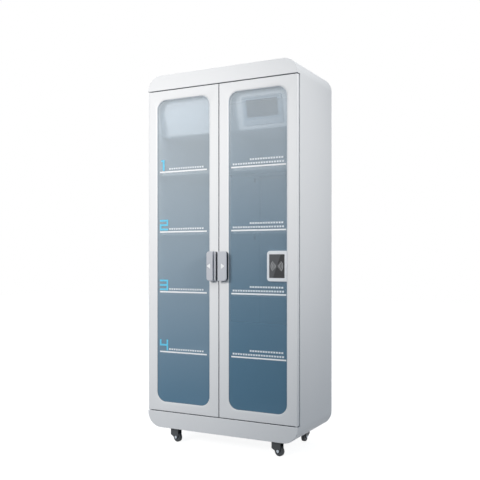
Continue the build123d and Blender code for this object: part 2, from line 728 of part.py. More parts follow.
with BuildPart() as pivot_pins:
    for side in SIDES.values():
        pin_place = (side * PIVOT_X, PIVOT_Y)
        upper_end = HEADER_Z + SHELL_SHEET
        lower_end = BASE_Z - SHELL_SHEET
        with BuildSketch(Plane.XY.offset(DOOR_TOP - PIN_ENGAGEMENT)):
            with Locations(pin_place):
                Circle(PIN_DIAMETER / 2)
        extrude(amount=upper_end - DOOR_TOP + PIN_ENGAGEMENT)
        with BuildSketch(Plane.XY.offset(upper_end)):
            with Locations(pin_place):
                Circle(PIN_HEAD_DIAMETER / 2)
        extrude(amount=PIN_HEAD_HEIGHT)
        with BuildSketch(Plane.XY.offset(lower_end)):
            with Locations(pin_place):
                Circle(PIN_DIAMETER / 2)
        extrude(amount=DOOR_BOTTOM + PIN_ENGAGEMENT - lower_end)
        with BuildSketch(Plane.XY.offset(lower_end)):
            with Locations(pin_place):
                Circle(PIN_HEAD_DIAMETER / 2)
        extrude(amount=-PIN_HEAD_HEIGHT)
        with BuildSketch(Plane.XY.offset(BASE_Z)):
            with Locations(pin_place):
                Circle(COLLAR_DIAMETER / 2)
        extrude(amount=DOOR_GAP - SEAT_GAP)
save(pivot_pins.part, "pivot_pins")

# ---------------------------------------------------------------- doors


def door_section(side, inset):
    """Plan of a door, with both corners of its hinge edge rounded."""
    x0 = DOOR_INNER_X + inset
    x1 = DOOR_OUTER_X - inset
    y0 = FRONT + inset
    y1 = FRONT + DOOR_THICKNESS - inset
    radius = HINGE_EDGE_RADIUS - inset
    with BuildLine() as outline:
        Line((side * x0, y1), (side * x0, y0))
        Line((side * x0, y0), (side * (x1 - radius), y0))
        RadiusArc((side * (x1 - radius), y0), (side * x1, y0 + radius), -side * radius)
        Line((side * x1, y0 + radius), (side * x1, y1 - radius))
        RadiusArc((side * x1, y1 - radius), (side * (x1 - radius), y1), -side * radius)
        Line((side * (x1 - radius), y1), (side * x0, y1))
    make_face(outline.edges())


def door_skin(side, side_name):
    """Outer sheet of a door: face, rolled hinge edge, three returns and the window rim."""
    inner_height = DOOR_HEIGHT - 2 * DOOR_SHEET
    pan_end = DOOR_OUTER_X - HINGE_EDGE_RADIUS
    with BuildPart() as skin:
        with BuildSketch(Plane.XY.offset(DOOR_BOTTOM)):
            door_section(side, 0)
        extrude(amount=DOOR_HEIGHT)
        front_edges = skin.faces().sort_by(Axis.Y)[0].outer_wire().edges()
        fillet(front_edges, EDGE_ROUND)
        with BuildSketch(Plane.XY.offset(DOOR_BOTTOM + DOOR_SHEET)):
            door_section(side, DOOR_SHEET)
        extrude(amount=inner_height, mode=Mode.SUBTRACT)
        block(
            side * (DOOR_INNER_X + DOOR_SHEET), side * pan_end,
            FRONT + DOOR_THICKNESS - DOOR_SHEET, FRONT + DOOR_THICKNESS,
            DOOR_BOTTOM + DOOR_SHEET, DOOR_TOP - DOOR_SHEET,
            mode=Mode.SUBTRACT,
        )
        with BuildSketch(facing_front(FRONT + DOOR_SHEET)):
            window_outline(side, WINDOW_RIM)
        extrude(amount=-(RIM_DEPTH - DOOR_SHEET))
        with BuildSketch(facing_front(FRONT)):
            window_outline(side)
        extrude(amount=-RIM_DEPTH, mode=Mode.SUBTRACT)
        with BuildSketch(facing_front(FRONT)):
            window_outline(side, WINDOW_BEVEL_WIDTH)
        with BuildSketch(facing_front(FRONT + WINDOW_BEVEL_DEPTH)):
            window_outline(side)
        loft(ruled=True, mode=Mode.SUBTRACT)
        with BuildSketch(Plane.XY.offset(DOOR_BOTTOM)):
            with Locations((side * PIVOT_X, PIVOT_Y)):
                Circle(BUSH_DIAMETER / 2)
        extrude(amount=DOOR_HEIGHT, mode=Mode.SUBTRACT)
    save(skin.part, f"door_skin_{side_name}")


def door_pan(side, side_name):
    """Inner sheet of a door, with a return that presses the pane's gasket."""
    flange_start = FRONT + RIM_DEPTH + GASKET_DEPTH
    pan_face = FRONT + DOOR_THICKNESS - DOOR_SHEET
    with BuildPart() as pan:
        block(
            side * (DOOR_INNER_X + DOOR_SHEET), side * (DOOR_OUTER_X - HINGE_EDGE_RADIUS),
            pan_face, FRONT + DOOR_THICKNESS,
            DOOR_BOTTOM + DOOR_SHEET, DOOR_TOP - DOOR_SHEET,
        )
        with BuildSketch(facing_front(flange_start)):
            window_outline(side, DOOR_SHEET)
        extrude(amount=-(pan_face - flange_start))
        with BuildSketch(facing_front(flange_start)):
            window_outline(side)
        extrude(amount=-(FRONT + DOOR_THICKNESS - flange_start), mode=Mode.SUBTRACT)
    save(pan.part, f"door_pan_{side_name}")


def door_pane(side, side_name):
    with BuildPart() as pane:
        with BuildSketch(facing_front(PANE_FACE)):
            window_outline(side, PANE_OVERLAP)
        extrude(amount=-PANE_THICKNESS)
    save(pane.part, f"door_pane_{side_name}")


def pane_gasket(side, side_name):
    """Channel gasket round the pane, with a narrow lip that shows inside the window."""
    with BuildPart() as gasket:
        with BuildSketch(facing_front(FRONT + RIM_DEPTH)):
            window_outline(side, PANE_OVERLAP + GASKET_EDGE)
        extrude(amount=-GASKET_DEPTH)
        with BuildSketch(facing_front(FRONT + RIM_DEPTH)):
            window_outline(side, -GASKET_REVEAL)
        extrude(amount=-GASKET_DEPTH, mode=Mode.SUBTRACT)
        with BuildSketch(facing_front(PANE_FACE)):
            window_outline(side, PANE_OVERLAP)
        extrude(amount=-PANE_THICKNESS, mode=Mode.SUBTRACT)
    save(gasket.part, f"pane_gasket_{side_name}")


def door_seal(side, side_name):
    """Soft strip round the inner face of a door. It stops just short of the body frame."""
    x0 = DOOR_INNER_X + SEAL_INSET
    x1 = INNER_WIDTH / 2 + SEAL_WIDTH + SEAL_INSET * 2
    z0 = DOOR_BOTTOM + SEAL_INSET
    z1 = DOOR_TOP - SEAL_INSET
    with BuildPart() as seal:
        block(
            side * x0, side * x1,
            FRONT + DOOR_THICKNESS, BODY_FACE - SEAT_GAP,
            z0, z1,
        )
        block(
            side * (x0 + SEAL_WIDTH), side * (x1 - SEAL_WIDTH),
            FRONT + DOOR_THICKNESS, BODY_FACE - SEAT_GAP,
            z0 + SEAL_WIDTH, z1 - SEAL_WIDTH,
            mode=Mode.SUBTRACT,
        )
    save(seal.part, f"door_seal_{side_name}")


def pivot_bushes(side, side_name):
    with BuildPart() as bushes:
        for z in (DOOR_BOTTOM, DOOR_TOP - BUSH_LENGTH):
            with BuildSketch(Plane.XY.offset(z)):
                with Locations((side * PIVOT_X, PIVOT_Y)):
                    Circle(BUSH_DIAMETER / 2)
                    Circle(PIN_DIAMETER / 2 + RUNNING_CLEARANCE, mode=Mode.SUBTRACT)
            extrude(amount=BUSH_LENGTH)
    save(bushes.part, f"pivot_bushes_{side_name}")


def strike_plate(side, side_name):
    seal_bottom = DOOR_TOP - SEAL_INSET - SEAL_WIDTH
    z1 = seal_bottom - 1
    with BuildPart() as strike:
        block(
            side * LOCK_INNER_X, side * (LOCK_INNER_X + LOCK_WIDTH),
            FRONT + DOOR_THICKNESS, FRONT + DOOR_THICKNESS + STRIKE_THICKNESS,
            z1 - STRIKE_HEIGHT, z1,
        )
        fillet(strike.edges().filter_by(Axis.Y), EDGE_ROUND)
    save(strike.part, f"strike_plate_{side_name}")


def handle_block(side, inner_x, inset, y0, depth):
    """Handle outline as a solid, rounded on its outer side only."""
    with BuildPart() as solid:
        with BuildSketch(facing_front(y0)):
            with Locations((side * (HANDLE_OUTER + inner_x) / 2, HANDLE_CENTRE_Z)):
                Rectangle(HANDLE_OUTER - inner_x - 2 * inset, HANDLE_HEIGHT - 2 * inset)
        extrude(amount=-depth)
        corners = solid.edges().filter_by(Axis.Y).sort_by(Axis.X)
        fillet(corners[-2:] if side > 0 else corners[:2], HANDLE_ROUND - inset)
    return solid.part


def handle(side, side_name, inner_x, step_width):
    """Light face plate, and a dark base with a finger recess behind its outer side."""
    z0 = HANDLE_CENTRE_Z - HANDLE_HEIGHT / 2
    z1 = HANDLE_CENTRE_Z + HANDLE_HEIGHT / 2
    face_y = FRONT - HANDLE_REACH
    base_y = face_y + HANDLE_PLATE
    ledge_y = face_y + HANDLE_STEP_DEPTH
    ledge_back = ledge_y + HANDLE_PLATE_EDGE
    raised_x = inner_x + step_width
    dish_x = (HANDLE_OUTER + raised_x) / 2
    plate_solid = handle_block(side, raised_x, 0, face_y, HANDLE_PLATE)
    base_solid = handle_block(side, inner_x, HANDLE_BASE_INSET, base_y, FRONT - base_y)

    with BuildPart() as plate:
        add(plate_solid)
        chamfer(plate.faces().sort_by(Axis.Y)[0].outer_wire().edges(), HANDLE_PLATE_EDGE)
        with BuildSketch(facing_front(face_y)):
            with Locations((side * dish_x, HANDLE_CENTRE_Z)):
                Circle(ARROW_DISH_DIAMETER / 2)
        extrude(amount=-ARROW_DISH_DEPTH, mode=Mode.SUBTRACT)
        if step_width:
            riser_x = raised_x + HANDLE_PLATE_EDGE
            block(side * raised_x, side * riser_x, base_y, ledge_back, z0, z1)
            block(side * inner_x, side * riser_x, ledge_y, ledge_back, z0, z1)
    save(plate.part, f"handle_plate_{side_name}")

    with BuildPart() as base:
        add(base_solid)
        block(
            side * (HANDLE_OUTER - FINGER_RECESS_DEPTH), side * HANDLE_OUTER,
            FRONT - HANDLE_BASE_INSET - FINGER_RECESS_WIDTH, FRONT - HANDLE_BASE_INSET,
            HANDLE_CENTRE_Z - FINGER_RECESS_HEIGHT / 2, HANDLE_CENTRE_Z + FINGER_RECESS_HEIGHT / 2,
            mode=Mode.SUBTRACT,
        )
        if step_width:
            block(
                side * inner_x, side * (raised_x + HANDLE_PLATE_EDGE),
                base_y, ledge_back, z0, z1,
                mode=Mode.SUBTRACT,
            )
    save(base.part, f"handle_base_{side_name}")


HANDLES = {
    "left": (HANDLE_INNER_LEFT, HANDLE_STEP_WIDTH),
    "right": (HANDLE_INNER_RIGHT, 0),
}

for side_name, side in SIDES.items():
    door_skin(side, side_name)
    door_pan(side, side_name)
    door_pane(side, side_name)
    pane_gasket(side, side_name)
    door_seal(side, side_name)
    pivot_bushes(side, side_name)
    strike_plate(side, side_name)
    handle(side, side_name, *HANDLES[side_name])

# ---------------------------------------------------------------- card reader

READER_X1 = WINDOW_X1 - SEAT_GAP
READER_X0 = READER_X1 - READER_WIDTH
READER_FACE = FRONT - READER_PROUD
READER_WINDOW_X = READER_X0 + READER_WINDOW_INSET + READER_WINDOW_WIDTH / 2
READER_POCKET_DEPTH = READER_WINDOW_THICKNESS + READER_WINDOW_RECESS

with BuildPart() as reader_housing:
    with BuildSketch(facing_front(READER_FACE)):
        with Locations(((READER_X0 + READER_X1) / 2, READER_CENTRE_Z)):
            Rectangle(READER_WIDTH, READER_HEIGHT)
    extrude(amount=-(PANE_FACE - READER_FACE))
    fillet(reader_housing.edges().filter_by(Axis.Y).sort_by(Axis.X)[:2], READER_ROUND)
    fillet(reader_housing.faces().sort_by(Axis.Y)[0].outer_wire().edges(), READER_EDGE_ROUND)
    with BuildSketch(facing_front(READER_FACE)):
        with Locations((READER_WINDOW_X, READER_CENTRE_Z)):
            RectangleRounded(READER_WINDOW_WIDTH, READER_WINDOW_HEIGHT, READER_WINDOW_ROUND)
    extrude(amount=-READER_POCKET_DEPTH, mode=Mode.SUBTRACT)
    block(
        WINDOW_X1 - GASKET_REVEAL - SEAT_GAP, READER_X1,
        FRONT + RIM_DEPTH - SEAT_GAP, PANE_FACE,
        READER_CENTRE_Z - READER_HEIGHT / 2, READER_CENTRE_Z + READER_HEIGHT / 2,
        mode=Mode.SUBTRACT,
    )
save(reader_housing.part, "reader_housing")

with BuildPart() as reader_window:
    with BuildSketch(facing_front(READER_FACE + READER_WINDOW_RECESS)):
        with Locations((READER_WINDOW_X, READER_CENTRE_Z)):
            RectangleRounded(
                READER_WINDOW_WIDTH - 2 * SEAT_GAP, READER_WINDOW_HEIGHT - 2 * SEAT_GAP,
                READER_WINDOW_ROUND - SEAT_GAP,
            )
    extrude(amount=-READER_WINDOW_THICKNESS)
save(reader_window.part, "reader_window")

# ---------------------------------------------------------------- casters

PLATE_BOTTOM = CASTER_HEIGHT - CASTER_PLATE_SHEET
FORK_TOP = PLATE_BOTTOM - SEAT_GAP
FORK_CROWN = FORK_TOP - FORK_TOP_THICKNESS
WHEEL_RADIUS = WHEEL_DIAMETER / 2
FORK_INNER = WHEEL_WIDTH / 2 + FORK_GAP
FORK_OUTER = FORK_INNER + FORK_SHEET


def caster_planes(x, y, yaw):
    """Ground plane and upright plane of a caster, with sketch x along its trail."""
    trail = (cos(radians(yaw)), sin(radians(yaw)), 0)
    across = (sin(radians(yaw)), -cos(radians(yaw)), 0)
    ground = Plane(origin=(x, y, 0), x_dir=trail, z_dir=(0, 0, 1))
    upright = Plane(origin=(x, y, 0), x_dir=trail, z_dir=across)
    return ground, upright


with BuildPart() as caster_plates:
    for x, y, yaw in CASTERS.values():
        with BuildSketch(Plane.XY.offset(PLATE_BOTTOM)):
            with Locations((x, y)):
                RectangleRounded(CASTER_PLATE_WIDTH, CASTER_PLATE_DEPTH, EDGE_ROUND)
        extrude(amount=CASTER_PLATE_SHEET)
        with BuildSketch(Plane.XY.offset(FORK_CROWN - SEAT_GAP)):
            with Locations((x, y)):
                Circle(KINGPIN_DIAMETER / 2)
        extrude(amount=PLATE_BOTTOM - FORK_CROWN + SEAT_GAP)
        with BuildSketch(Plane.XY.offset(FORK_CROWN - SEAT_GAP)):
            with Locations((x, y)):
                Circle(KINGPIN_HEAD_DIAMETER / 2)
        extrude(amount=-KINGPIN_HEAD_HEIGHT)
save(caster_plates.part, "caster_plates")

for place, (x, y, yaw) in CASTERS.items():
    ground, upright = caster_planes(x, y, yaw)

    with BuildPart() as fork:
        with BuildSketch(ground.offset(FORK_CROWN)):
            Circle(FORK_TOP_DIAMETER / 2)
        extrude(amount=FORK_TOP_THICKNESS)
        with BuildSketch(upright.offset(-FORK_OUTER)):
            with Locations((CASTER_TRAIL, WHEEL_RADIUS)):
                Circle(FORK_FOOT_RADIUS)
            with Locations(((FORK_CHEEK_TRAILING - FORK_CHEEK_LEADING) / 2, FORK_CROWN + FORK_SHEET)):
                Rectangle(
                    FORK_CHEEK_TRAILING + FORK_CHEEK_LEADING, FORK_CHEEK_HEIGHT + FORK_SHEET,
                    align=(Align.CENTER, Align.MAX),
                )
            make_hull()
        extrude(amount=2 * FORK_OUTER)
        with BuildSketch(upright.offset(-FORK_INNER)):
            with Locations((CASTER_TRAIL, FORK_CROWN / 2)):
                Rectangle(FORK_TOP_DIAMETER * 3, FORK_CROWN)
        extrude(amount=2 * FORK_INNER, mode=Mode.SUBTRACT)
        with BuildSketch(upright.offset(-FORK_OUTER)):
            with Locations((CASTER_TRAIL, WHEEL_RADIUS)):
                Circle(AXLE_DIAMETER / 2)
        extrude(amount=2 * FORK_OUTER, mode=Mode.SUBTRACT)
        with BuildSketch(ground.offset(FORK_CROWN)):
            Circle(KINGPIN_DIAMETER / 2 + RUNNING_CLEARANCE)
        extrude(amount=FORK_TOP_THICKNESS, mode=Mode.SUBTRACT)
        with BuildSketch(upright.offset(-FORK_OUTER)):
            with Locations((CASTER_TRAIL, WHEEL_RADIUS)):
                Circle(AXLE_DIAMETER / 2)
        extrude(amount=2 * FORK_OUTER)
        with BuildSketch(upright.offset(FORK_OUTER), upright.offset(-FORK_OUTER - AXLE_HEAD_HEIGHT)):
            with Locations((CASTER_TRAIL, WHEEL_RADIUS)):
                Circle(AXLE_HEAD_DIAMETER / 2)
        extrude(amount=AXLE_HEAD_HEIGHT)
    save(fork.part, f"caster_fork_{place}")

    with BuildPart() as wheel:
        with BuildSketch(upright.offset(-WHEEL_WIDTH / 2)):
            with Locations((CASTER_TRAIL, WHEEL_RADIUS)):
                Circle(WHEEL_RADIUS)
                Circle(AXLE_DIAMETER / 2 + RUNNING_CLEARANCE, mode=Mode.SUBTRACT)
        extrude(amount=WHEEL_WIDTH)
        rims = wheel.edges().filter_by(GeomType.CIRCLE).filter_by(lambda e: e.radius > AXLE_DIAMETER)
        fillet(rims, EDGE_ROUND)
    save(wheel.part, f"caster_wheel_{place}")
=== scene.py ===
import json
from math import pi, radians

import bmesh
import bpy
from mathutils import Matrix, Vector


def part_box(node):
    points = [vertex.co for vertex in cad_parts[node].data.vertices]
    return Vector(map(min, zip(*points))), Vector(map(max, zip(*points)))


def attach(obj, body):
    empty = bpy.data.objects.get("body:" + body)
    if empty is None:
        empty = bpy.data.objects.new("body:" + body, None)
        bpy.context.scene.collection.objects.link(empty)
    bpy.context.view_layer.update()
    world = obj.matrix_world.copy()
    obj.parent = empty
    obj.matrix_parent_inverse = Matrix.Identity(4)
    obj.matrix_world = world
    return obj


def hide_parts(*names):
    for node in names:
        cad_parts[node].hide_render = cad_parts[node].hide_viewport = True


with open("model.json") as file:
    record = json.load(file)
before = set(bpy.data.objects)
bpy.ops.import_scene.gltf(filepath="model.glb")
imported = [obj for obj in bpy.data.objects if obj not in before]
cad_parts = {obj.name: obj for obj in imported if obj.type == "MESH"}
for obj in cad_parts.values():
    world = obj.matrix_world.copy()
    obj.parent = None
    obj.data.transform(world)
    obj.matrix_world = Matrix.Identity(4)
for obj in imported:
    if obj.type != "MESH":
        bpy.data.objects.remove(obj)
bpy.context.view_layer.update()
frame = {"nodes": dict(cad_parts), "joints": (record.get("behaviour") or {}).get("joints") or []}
NODES = frame["nodes"]

MM = 0.001

# ---------------------------------------------------------------- places read from the frame


def low(node):
    return Vector(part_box(node)[0])


def high(node):
    return Vector(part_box(node)[1])


def centre_of(node):
    return (low(node) + high(node)) / 2


CASTERS = ("front_left", "front_right", "rear_left", "rear_right")


def axle_of(place_name):
    """Middle of a caster's wheel and the direction of its axle."""
    joint = next(j for j in frame["joints"] if j["name"] == f"wheel_{place_name}_roll")
    return Vector(joint["pos_m"]), Vector(joint["axis"]).normalized()


GLASS_BEHIND_FRAME = 10 * MM
DOOR_FACE = low("door_skin_right").y
PANE_FACE = low("door_pane_right").y
WINDOW_FOOT = low("door_pane_right").z + GLASS_BEHIND_FRAME
WINDOW_TOP = high("door_pane_right").z - GLASS_BEHIND_FRAME
SHELF_TOPS = [high(f"shelf_{level}_right").z for level in (1, 2, 3, 4)]

# ---------------------------------------------------------------- camera

FOCAL_PIXELS = 702.63
PHOTO_PIXELS = 480
SENSOR_WIDTH = 36.0
HORIZON_PIXEL = 258.0
CENTRE_PIXEL = 239.5
AXIS_PIXEL = 240.0
CAMERA_YAW = radians(27.77)
CAMERA_RIGHT = 1.7198
CAMERA_BEFORE_DOORS = 3.0343
CAMERA_HEIGHT = 0.9505


def photo_camera():
    """Level camera at the photograph's viewpoint."""
    data = bpy.data.cameras.new("photo_camera")
    data.sensor_width = SENSOR_WIDTH
    data.lens = FOCAL_PIXELS / PHOTO_PIXELS * SENSOR_WIDTH
    data.shift_x = (CENTRE_PIXEL - AXIS_PIXEL) / PHOTO_PIXELS
    data.shift_y = (HORIZON_PIXEL - CENTRE_PIXEL) / PHOTO_PIXELS
    camera = bpy.data.objects.new("photo_camera", data)
    camera.location = (CAMERA_RIGHT, DOOR_FACE - CAMERA_BEFORE_DOORS, CAMERA_HEIGHT)
    camera.rotation_euler = (pi / 2, 0, CAMERA_YAW)
    bpy.context.collection.objects.link(camera)
    bpy.context.scene.camera = camera


photo_camera()

# ---------------------------------------------------------------- colours and node helpers


def tone(red, green, blue):
    """Linear colour from an ordinary 0 to 255 screen colour."""
    def linear(value):
        value /= 255
        return value / 12.92 if value <= 0.04045 else ((value + 0.055) / 1.055) ** 2.4
    return (linear(red), linear(green), linear(blue), 1.0)


def add_node(tree, kind, **settings):
    node = tree.nodes.new(kind)
    for name, value in settings.items():
        setattr(node, name, value)
    return node


def feed(tree, value, socket):
    """Set a socket to a number or a colour, or link another socket to it."""
    if isinstance(value, (int, float, tuple)):
        socket.default_value = value
    else:
        tree.links.new(value, socket)


def math_node(tree, operation, first, second=None, clamp=False):
    """A math node whose inputs are sockets or numbers."""
    node = add_node(tree, "ShaderNodeMath", operation=operation, use_clamp=clamp)
    feed(tree, first, node.inputs[0])
    if second is not None:
        feed(tree, second, node.inputs[1])
    return node.outputs[0]


# Where the colour sockets are among all those of a mix node.
MIX_FACTOR, MIX_FIRST, MIX_SECOND, MIX_RESULT = 0, 6, 7, 2


def mix_colour(tree, factor, first, second, blend="MIX"):
    """A colour mix whose inputs are sockets, numbers or colours."""
    node = add_node(tree, "ShaderNodeMix", data_type="RGBA", blend_type=blend)
    feed(tree, factor, node.inputs[MIX_FACTOR])
    feed(tree, first, node.inputs[MIX_FIRST])
    feed(tree, second, node.inputs[MIX_SECOND])
    return node.outputs[MIX_RESULT]


def object_place(tree):
    return add_node(tree, "ShaderNodeTexCoord").outputs["Object"]


def object_axes(tree):
    """Outputs X, Y and Z of the place on the object."""
    split = add_node(tree, "ShaderNodeSeparateXYZ")
    tree.links.new(object_place(tree), split.inputs[0])
    return split.outputs


def mapped_place(tree, scale, rotation=(0, 0, 0)):
    """Place on the object, turned and stretched for a pattern with a direction."""
    mapping = add_node(tree, "ShaderNodeMapping")
    mapping.inputs["Rotation"].default_value = rotation
    mapping.inputs["Scale"].default_value = scale
    tree.links.new(object_place(tree), mapping.inputs["Vector"])
    return mapping.outputs["Vector"]


def noise(tree, place, scale, detail, roughness=0.5):
    node = add_node(tree, "ShaderNodeTexNoise")
    node.inputs["Detail"].default_value = detail
    node.inputs["Roughness"].default_value = roughness
    feed(tree, scale, node.inputs["Scale"])
    tree.links.new(place, node.inputs["Vector"])
    return node.outputs["Fac"]


def cell_distance(tree, scale):
    """Distance from the middle of the nearest cell of a grain."""
    cells = add_node(tree, "ShaderNodeTexVoronoi")
    feed(tree, scale, cells.inputs["Scale"])
    tree.links.new(object_place(tree), cells.inputs["Vector"])
    return cells.outputs["Distance"]


def uneven_sheen(tree, base, pattern, amount):
    """Roughness that goes up and down with a pattern about its base value."""
    shift = math_node(tree, "MULTIPLY", math_node(tree, "SUBTRACT", pattern, 0.5), amount)
    return math_node(tree, "ADD", base, shift, clamp=True)


# ---------------------------------------------------------------- groups for shared effects

FLOAT = "NodeSocketFloat"
COLOUR = "NodeSocketColor"
GRAIN_OUTPUTS = [("Color", COLOUR), ("Roughness", FLOAT), ("Height", FLOAT)]


def new_group(name, inputs, outputs):
    """Shader node group. Sockets are given as (name, type, default) and (name, type)."""
    tree = bpy.data.node_groups.new(name, "ShaderNodeTree")
    for label, kind, default in inputs:
        socket = tree.interface.new_socket(label, in_out="INPUT", socket_type=kind)
        socket.default_value = default
    for label, kind in outputs:
        tree.interface.new_socket(label, in_out="OUTPUT", socket_type=kind)
    entry = tree.nodes.new("NodeGroupInput")
    leave = tree.nodes.new("NodeGroupOutput")
    return tree, entry.outputs, leave.inputs


CLOUD_SCALE = 4.0
CLOUD_STRENGTH = 4.0
CLOUD_SHADE = (0.8, 0.82, 0.85, 1)
# Reach, samples and strength of the painted shade in tight gaps and corners.
GAP_REACH = 12 * MM
GAP_SAMPLES = 4
GAP_OPENNESS = 1.3
PAINTED_GAP_SHADE = (0.18, 0.2, 0.25, 1)
PEBBLE_SHEEN = 0.12


def powder_coat_gap_shade_group():
    """Fine pebbled paint with slow clouds of tone, and painted shade where pieces meet in a gap.
    """
    tree, given, out = new_group(
        "powder_coat_gap_shade",
        [
            ("Color", COLOUR, (0.8, 0.8, 0.8, 1)),
            ("Pebble Scale", FLOAT, 900.0),
            ("Roughness", FLOAT, 0.4),
            ("Mottle", FLOAT, 0.04),
        ],
        GRAIN_OUTPUTS,
    )
    pebbles = noise(tree, object_place(tree), given["Pebble Scale"], detail=3.0)
    clouds = noise(tree, object_place(tree), CLOUD_SCALE, detail=3.0)
    clouded = mix_colour(tree, 1.0, given["Color"], CLOUD_SHADE, "MULTIPLY")
    spread = math_node(tree, "MULTIPLY", clouds, given["Mottle"])
    strength = math_node(tree, "MULTIPLY", spread, CLOUD_STRENGTH, clamp=True)
    mottled = mix_colour(tree, strength, given["Color"], clouded)
    # Painted shade: ambient occlusion darkens the colour in tight gaps and corners, where shade
    # falls.
    gap_occlusion = add_node(tree, "ShaderNodeAmbientOcclusion", samples=GAP_SAMPLES)
    gap_occlusion.inputs["Distance"].default_value = GAP_REACH
    open_share = math_node(tree, "MULTIPLY", gap_occlusion.outputs["AO"], GAP_OPENNESS, clamp=True)
    gap_shaded = mix_colour(tree, 1.0, mottled, PAINTED_GAP_SHADE, "MULTIPLY")
    tree.links.new(mix_colour(tree, open_share, gap_shaded, mottled), out["Color"])
    sheen = uneven_sheen(tree, given["Roughness"], pebbles, PEBBLE_SHEEN)
    tree.links.new(sheen, out["Roughness"])
    tree.links.new(pebbles, out["Height"])
    return tree


BRUSHING_STRETCH = (0.03, 1.0, 1.0)
SCRATCH_SHADE = (0.72, 0.72, 0.74, 1)
SCRATCH_SHEEN = 0.3


def brushed_group():
    """Fine parallel scratches along X."""
    tree, given, out = new_group(
        "brushed_lines",
        [
            ("Color", COLOUR, (0.7, 0.7, 0.7, 1)),
            ("Line Scale", FLOAT, 1500.0),
            ("Roughness", FLOAT, 0.3),
        ],
        GRAIN_OUTPUTS,
    )
    place = mapped_place(tree, BRUSHING_STRETCH)
    lines = noise(tree, place, given["Line Scale"], detail=4.0, roughness=0.7)
    worn = mix_colour(tree, 1.0, given["Color"], SCRATCH_SHADE, "MULTIPLY")
    tree.links.new(mix_colour(tree, lines, given["Color"], worn), out["Color"])
    sheen = uneven_sheen(tree, given["Roughness"], lines, SCRATCH_SHEEN)
    tree.links.new(sheen, out["Roughness"])
    tree.links.new(lines, out["Height"])
    return tree


SCUFF_SCALE = 35.0
SCUFF_LIGHT = (0.018, 0.018, 0.018, 1)
SCUFF_SHEEN = 0.25


def moulded_group():
    """Grain and faint scuffs of moulded plastic, rubber and ink."""
    tree, given, out = new_group(
        "moulded_grain",
        [
            ("Color", COLOUR, (0.1, 0.1, 0.1, 1)),
            ("Grain Scale", FLOAT, 2200.0),
            ("Roughness", FLOAT, 0.5),
        ],
        GRAIN_OUTPUTS,
    )
    scuffs = noise(tree, object_place(tree), SCUFF_SCALE, detail=4.0)
    lighter = mix_colour(tree, 1.0, given["Color"], SCUFF_LIGHT, "ADD")
    tree.links.new(mix_colour(tree, scuffs, given["Color"], lighter), out["Color"])
    sheen = uneven_sheen(tree, given["Roughness"], scuffs, SCUFF_SHEEN)
    tree.links.new(sheen, out["Roughness"])
    tree.links.new(cell_distance(tree, given["Grain Scale"]), out["Height"])
    return tree


WIPE_LEAN = (0, radians(28), 0)
WIPE_STRETCH = (1.0, 1.0, 0.3)


def wipe_marks_group():
    """Broad faint smears left on glass and gloss plastic by a cleaning cloth."""
    tree, given, out = new_group(
        "wipe_marks",
        [("Smear Scale", FLOAT, 9.0), ("Roughness", FLOAT, 0.1), ("Amount", FLOAT, 0.1)],
        [("Roughness", FLOAT)],
    )
    place = mapped_place(tree, WIPE_STRETCH, WIPE_LEAN)
    smears = noise(tree, place, given["Smear Scale"], detail=5.0, roughness=0.6)
    extra = math_node(tree, "MULTIPLY", smears, given["Amount"])
    sheen = math_node(tree, "ADD", given["Roughness"], extra, clamp=True)
    tree.links.new(sheen, out["Roughness"])
    return tree


def height_fade_group():
    """Smooth change of colour from a low height to a high one.

    Curve above 1 keeps the low colour further up. Share is the plain height share.
    """
    tree, given, out = new_group(
        "height_fade",
        [
            ("Low Height", FLOAT, 0.0),
            ("High Height", FLOAT, 1.0),
            ("Curve", FLOAT, 1.0),
            ("Low Color", COLOUR, (0.1, 0.1, 0.1, 1)),
            ("High Color", COLOUR, (0.9, 0.9, 0.9, 1)),
        ],
        [("Color", COLOUR), ("Share", FLOAT)],
    )
    span = math_node(tree, "SUBTRACT", given["High Height"], given["Low Height"])
    above = math_node(tree, "SUBTRACT", object_axes(tree)["Z"], given["Low Height"])
    share = math_node(tree, "DIVIDE", above, span, clamp=True)
    curved = math_node(tree, "POWER", share, given["Curve"])
    faded = mix_colour(tree, curved, given["Low Color"], given["High Color"])
    tree.links.new(faded, out["Color"])
    tree.links.new(share, out["Share"])
    return tree


POWDER_GAP_SHADE = powder_coat_gap_shade_group()
BRUSHED = brushed_group()
MOULDED = moulded_group()
WIPED = wipe_marks_group()
FADE = height_fade_group()

# ---------------------------------------------------------------- material makers


def place_group(tree, group, **values):
    node = add_node(tree, "ShaderNodeGroup", node_tree=group)
    for label, value in values.items():
        node.inputs[label.replace("_", " ")].default_value = value
    return node


def bare_material(name, **sockets):
    """Principled material with constant values set on the shader's own sockets."""
    material = bpy.data.materials.new(name)
    material.use_nodes = True
    tree = material.node_tree
    shader = tree.nodes["Principled BSDF"]
    for label, value in sockets.items():
        shader.inputs[label.replace("_", " ")].default_value = value
    return material, tree, shader


def wiped_sheen(tree, shader, roughness, amount, smear_scale=9.0):
    smears = place_group(
        tree, WIPED, Smear_Scale=smear_scale, Roughness=roughness, Amount=amount
    )
    tree.links.new(smears.outputs["Roughness"], shader.inputs["Roughness"])


def bump(tree, shader, height, depth):
    node = add_node(tree, "ShaderNodeBump")
    node.inputs["Distance"].default_value = depth
    node.inputs["Strength"].default_value = 1.0
    tree.links.new(height, node.inputs["Height"])
    tree.links.new(node.outputs["Normal"], shader.inputs["Normal"])


def grain_to_shader(tree, shader, grain, depth, colour=None):
    """Link a grain group to the shader, with its own colour or one made from it."""
    tree.links.new(colour or grain.outputs["Color"], shader.inputs["Base Color"])
    tree.links.new(grain.outputs["Roughness"], shader.inputs["Roughness"])
    bump(tree, shader, grain.outputs["Height"], depth)


def finish_material(name, group, grain_label, grain_scale, colour, roughness, depth, metallic=0.0):
    """Material made from one of the grain groups."""
    material, tree, shader = bare_material(name, Metallic=metallic)
    grain = place_group(tree, group, Color=colour, Roughness=roughness)
    grain.inputs[grain_label].default_value = grain_scale
    grain_to_shader(tree, shader, grain, depth)
    return material


